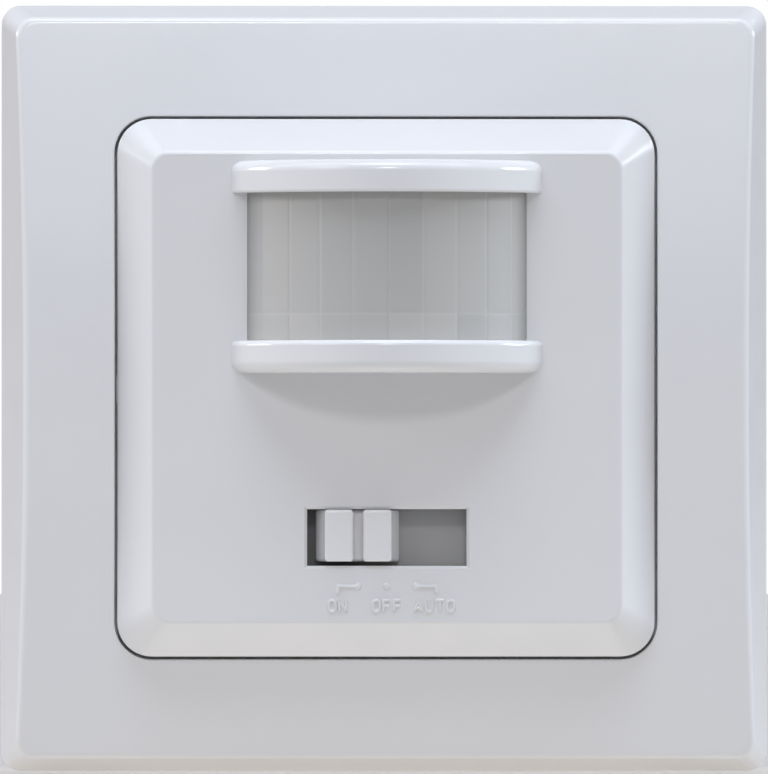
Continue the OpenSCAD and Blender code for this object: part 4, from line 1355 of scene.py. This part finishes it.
def board_print():
    """White outlines printed round the parts, with no lettering."""
    outlines = []
    for node, room in PRINTED_OBLONGS.items():
        low, high = box_mm(node)
        half_x, half_z = (high.x - low.x) / 2, (high.z - low.z) / 2
        outlines.append(oblong_at(*middle_mm(node), half_x + room, half_z + room))
    for node in ("pyro_can", "light_sensor"):
        low, high = box_mm(node)
        outlines.append(circle(*middle_mm(node), (high.x - low.x) / 2 + PRINT_ROOM))
    for side in (-1, 1):
        x = side * (caps_high.x - TIMING_CAP_R)
        outlines.append(circle(x, (caps_low.z + caps_high.z) / 2, TIMING_CAP_R + PRINT_ROOM))
    strips = [strip(outline, PRINT_W, BOARD_Y, PRINT_RISE, True) for outline in outlines]
    dress(raw_object("board_print", *strips), "base", INK)


def light_cell_track():
    """The light-sensitive track that winds across the face of the light sensor."""
    x, z = middle_mm("light_sensor")
    path = []
    for i in range(CELL_RUNS):
        side = -1 if i % 2 else 1
        level = z + (i - (CELL_RUNS - 1) / 2) * CELL_STEP
        reach = CELL_FILL * sqrt(CELL_R**2 - (level - z) ** 2)
        path += [(x - side * reach, level), (x + side * reach, level)]
    obj = raw_object("light_cell_track", strip(path, CELL_TRACK_W, CELL_FACE_Y + INK_ROOT, CELL_TRACK_RISE))
    dress(obj, "base", cell_track())


def trimmer_scales():
    """Ticks round both trimmers, over the turn that they allow."""
    ticks = []
    for node in ("lux_trimmer_body", "time_trimmer_body"):
        x, z = middle_mm(node)
        face_y = box_mm(node)[0].y
        for i in range(TICKS):
            turn = radians(TRIMMER_TURN_DEG * (2 * i / (TICKS - 1) - 1))
            outer = TICK_OUT if i % TICKS_TO_LONG else TICK_LONG
            path = [(x + sin(turn) * reach, z + cos(turn) * reach) for reach in (TICK_IN, outer)]
            ticks.append(strip(path, TICK_W, face_y + INK_ROOT, 2 * INK_ROOT))
    dress(raw_object("trimmer_scales", *ticks), "base", INK)


# Moulded marks on the back of the housing


def back_numbers():
    """Plain numbers over the terminals, which read from behind."""
    pitch = (terminal_high.x - terminal_low.x) / POLES
    ridges = []
    for pole in range(POLES):
        middle = (1 - pole) * pitch
        for points in LETTERS[str(pole + 1)]:
            placed = [(middle + (LETTER_W / 2 - x) * NUMBER_H, NUMBER_Z + z * NUMBER_H) for x, z in points]
            ridges.append(ridge(placed, NUMBER_W, HOUSING_BACK_Y - STROKE_ROOT, -BACK_RISE))
    dress(raw_object("terminal_numbers", *ridges), "base", GREY, sharp_deg=50.0)


def back_mouldings():
    """A raised border and four ejector rings on the back of the housing."""
    root_y = HOUSING_BACK_Y - STROKE_ROOT
    shapes = [strip(oblong_at(0.0, BORDER_Z, *BORDER_HALF), BORDER_W, root_y, -BACK_RISE, True)]
    out_x, out_z = EJECTOR_OUT
    for x in (-out_x, out_x):
        for z in (BORDER_Z - out_z, BORDER_Z + out_z):
            shapes.append(strip(circle(x, z, EJECTOR_R), EJECTOR_W, root_y, -BACK_RISE / 2, True))
    dress(raw_object("back_mouldings", *shapes), "base", GREY)


# CAD nodes that stay, each with a material and most with their edges broken


WELD_MM = 0.002
FLAT_DEG = 0.5
EDGE_DEG = 40.0


def keep_node(name, material, edge_mm):
    """Gives a CAD node its material, and rounds its edges with modifiers."""
    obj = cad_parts[name]
    obj.data.materials.clear()
    obj.data.materials.append(material)
    weld = obj.modifiers.new("weld", "WELD")
    weld.merge_threshold = WELD_MM * MM
    if edge_mm:
        flat = obj.modifiers.new("flat", "DECIMATE")
        flat.decimate_type = "DISSOLVE"
        flat.angle_limit = radians(FLAT_DEG)
        edge = obj.modifiers.new("edge", "BEVEL")
        edge.width = edge_mm * MM
        edge.segments = 2
        edge.limit_method = "ANGLE"
        edge.angle_limit = radians(EDGE_DEG)
        edge.use_clamp_overlap = True
    obj.data.shade_smooth()
    smooth = obj.modifiers.new("flat_faces", "WEIGHTED_NORMAL")
    smooth.keep_sharp = True


def timing_sleeve():
    middle = (caps_high.x - TIMING_CAP_R, (caps_low.z + caps_high.z) / 2)
    return sleeve(middle, TIMING_CAP_R, caps_low.y)


def smoothing_sleeve():
    low, high = box_mm("smoothing_capacitor")
    return sleeve(middle_mm("smoothing_capacitor"), (high.x - low.x) / 2, low.y)


def keep_nodes():
    """The kept nodes by their material, with the width of their broken edges."""
    kept = {
        black_plastic(): {
            "lens_retainer": 0.15, "slide_switch_lever": 0.15, "link_header": 0.08, "link_socket": 0.08,
            "rectifier_diodes": 0.0, "driver_transistor": 0.0,
        },
        screw_metal(): {"bracket_screws": 0.2, "board_screws": 0.16, "terminal_screws": 0.12},
        bright_metal(): {"pyro_can": 0.1, "pyro_header": 0.0, "slide_switch_shell": 0.12},
        blue_plastic(): {"lux_trimmer_body": 0.15, "time_trimmer_body": 0.15, "surge_varistor": 0.3},
        ivory_plastic(): {"lux_trimmer_rotor": 0.08, "time_trimmer_rotor": 0.08},
        solder_mask(): {"sensor_board": 0.08, "power_board": 0.08},
        brass(): {"link_pins": 0.08, "terminal_clamps": 0.12},
        tan_ceramic(): {"line_fuse": 0.0, "power_resistors": 0.0},
        GREY: {"rear_housing": 0.25},
        zinc_sheet(): {"mounting_bracket": 0.12},
        dark_filter(): {"pyro_window": 0.04},
        cell_and_leads(): {"light_sensor": 0.0},
        phenolic(): {"slide_switch_base": 0.08},
        chip_and_legs(): {"control_chip": 0.06},
        timing_sleeve(): {"timing_capacitors": 0.2},
        chip_ends(): {"chip_resistors": 0.05},
        relay_case(): {"relay": 0.3},
        yellow_case(): {"film_capacitor": 0.3},
        smoothing_sleeve(): {"smoothing_capacitor": 0.0},
        terminal_plastic(): {"terminal_block": 0.2},
    }
    for material, nodes in kept.items():
        for name, edge_mm in nodes.items():
            keep_node(name, material, edge_mm)


outer_frame()
front_cover()
position_marks()
position_dots()
fresnel_lens()
knob_grip()
knob_flange()
board_tracks()
board_pads()
solder_joints()
board_print()
light_cell_track()
trimmer_scales()
back_numbers()
back_mouldings()
keep_nodes()


# Stage, light and camera


COOL = (0.68, 0.8, 1.0)
PALE = (0.82, 0.9, 1.0)
NEUTRAL = (1.0, 0.98, 1.0)
WARM = (1.0, 0.94, 0.86)
HAZE = (1.0, 0.9, 0.92)

FLOOR_HALF_M = 9.0
FLOOR_ROOM_M = 0.0003
POOL_GLOW = 0.28
FLOOR_GLOW = 0.12
POOL_IN = 25.0
POOL_OUT = 90.0

# Each light: angle to the right of the front, angle up, width of the source, strength and colour
LIGHTS = {
    "front_top": (0, 70, 30, 0.42, PALE),
    "front_low": (0, 30, 9, 0.14, NEUTRAL),
    "front_wide": (0, 18, 20, 0.038, PALE),
    "bounce": (0, -85, 40, 0.3, WARM),
    "key_left": (-43, 31, 22, 0.09, PALE),
    "key_right": (43, 38, 26, 0.02, PALE),
    "high_left": (-60, 60, 30, 0.14, COOL),
    "high_right": (60, 60, 30, 0.15, COOL),
    "streak_left": (-88, 42, 14, 0.04, PALE),
    "side_left": (-95, 20, 16, 0.35, NEUTRAL),
    "side_right": (95, 20, 16, 0.52, PALE),
    "back_left": (-164, 14, 10, 0.2, NEUTRAL),
    "back_right": (164, 14, 10, 0.3, NEUTRAL),
}
AMBIENT = 0.24


def stage_floor():
    """Pale floor that glows a little, most of all close to the object."""
    shader = moulded("pale_floor", (0.3, 0.3, 0.3), 0.7, grain_mm=4.0, grain_depth=0.05, mottle=0.01)
    shader.drive("Emission Color", (*WARM, 1.0))
    across, depth, height = shader.axes()
    pool = shader.spread(shader.length(across, depth), POOL_GLOW, FLOOR_GLOW, POOL_IN, POOL_OUT)
    shader.drive("Emission Strength", pool)
    z = cad_bounds[0].z - FLOOR_ROOM_M
    corners = oblong_at(0.0, 0.0, FLOOR_HALF_M, FLOOR_HALF_M)
    mesh = bpy.data.meshes.new("floor")
    mesh.from_pydata([(x, y, z) for x, y in corners], [], [(0, 1, 2, 3)])
    mesh.materials.append(shader.material)
    obj = new_object("floor", mesh)
    obj.visible_shadow = False


def sun(name, aside_deg, up_deg, width_deg, strength, colour):
    """Soft parallel light from a direction."""
    light = bpy.data.lights.new(name, "SUN")
    light.energy = pi * strength
    light.color = colour
    light.angle = radians(width_deg)
    aside, up = radians(aside_deg), radians(up_deg)
    direction = Vector((sin(aside) * cos(up), -cos(aside) * cos(up), sin(up)))
    obj = new_object(name, light)
    obj.rotation_euler = direction.to_track_quat("Z", "Y").to_euler()


def studio_world():
    """Faint ambient light, with a white background for the camera."""
    world = bpy.data.worlds.new("studio")
    bpy.context.scene.world = world
    world.use_nodes = True
    nodes, links = world.node_tree.nodes, world.node_tree.links
    soft = nodes["Background"]
    soft.inputs["Color"].default_value = (*HAZE, 1.0)
    soft.inputs["Strength"].default_value = AMBIENT
    white = nodes.new("ShaderNodeBackground")
    white.inputs["Color"].default_value = (1.0, 1.0, 1.0, 1.0)
    paths = nodes.new("ShaderNodeLightPath")
    either = nodes.new("ShaderNodeMixShader")
    links.new(paths.outputs["Is Camera Ray"], either.inputs["Fac"])
    links.new(soft.outputs["Background"], either.inputs[1])
    links.new(white.outputs["Background"], either.inputs[2])
    links.new(either.outputs["Shader"], nodes["World Output"].inputs["Surface"])


IMAGE_H_PX = 774
SENSOR_MM = 36.0
CAMERA_AWAY = 2000.0
PX_PER_MM = 9.5625
CLIP_END_M = 20.0
FROM_LEFT_DEG = 1.5
FROM_BELOW_DEG = 0.5
AIM = (-0.02, 0.0, 0.146)


def photo_camera():
    """Long lens, almost straight in front: a little from the left and from below."""
    camera = bpy.data.cameras.new("photo_camera")
    camera.sensor_width = SENSOR_MM
    camera.lens = PX_PER_MM * CAMERA_AWAY * SENSOR_MM / IMAGE_H_PX
    camera.clip_end = CLIP_END_M
    obj = new_object("photo_camera", camera)
    left, below = radians(FROM_LEFT_DEG), radians(FROM_BELOW_DEG)
    away = Vector((-sin(left), -cos(left), -sin(below)))
    obj.location = (Vector(AIM) + away * CAMERA_AWAY) * MM
    obj.rotation_euler = away.to_track_quat("Z", "Y").to_euler()
    bpy.context.scene.camera = obj


for light_name, light_values in LIGHTS.items():
    sun(light_name, *light_values)
studio_world()
stage_floor()
photo_camera()
bpy.context.scene.view_settings.view_transform = "Standard"
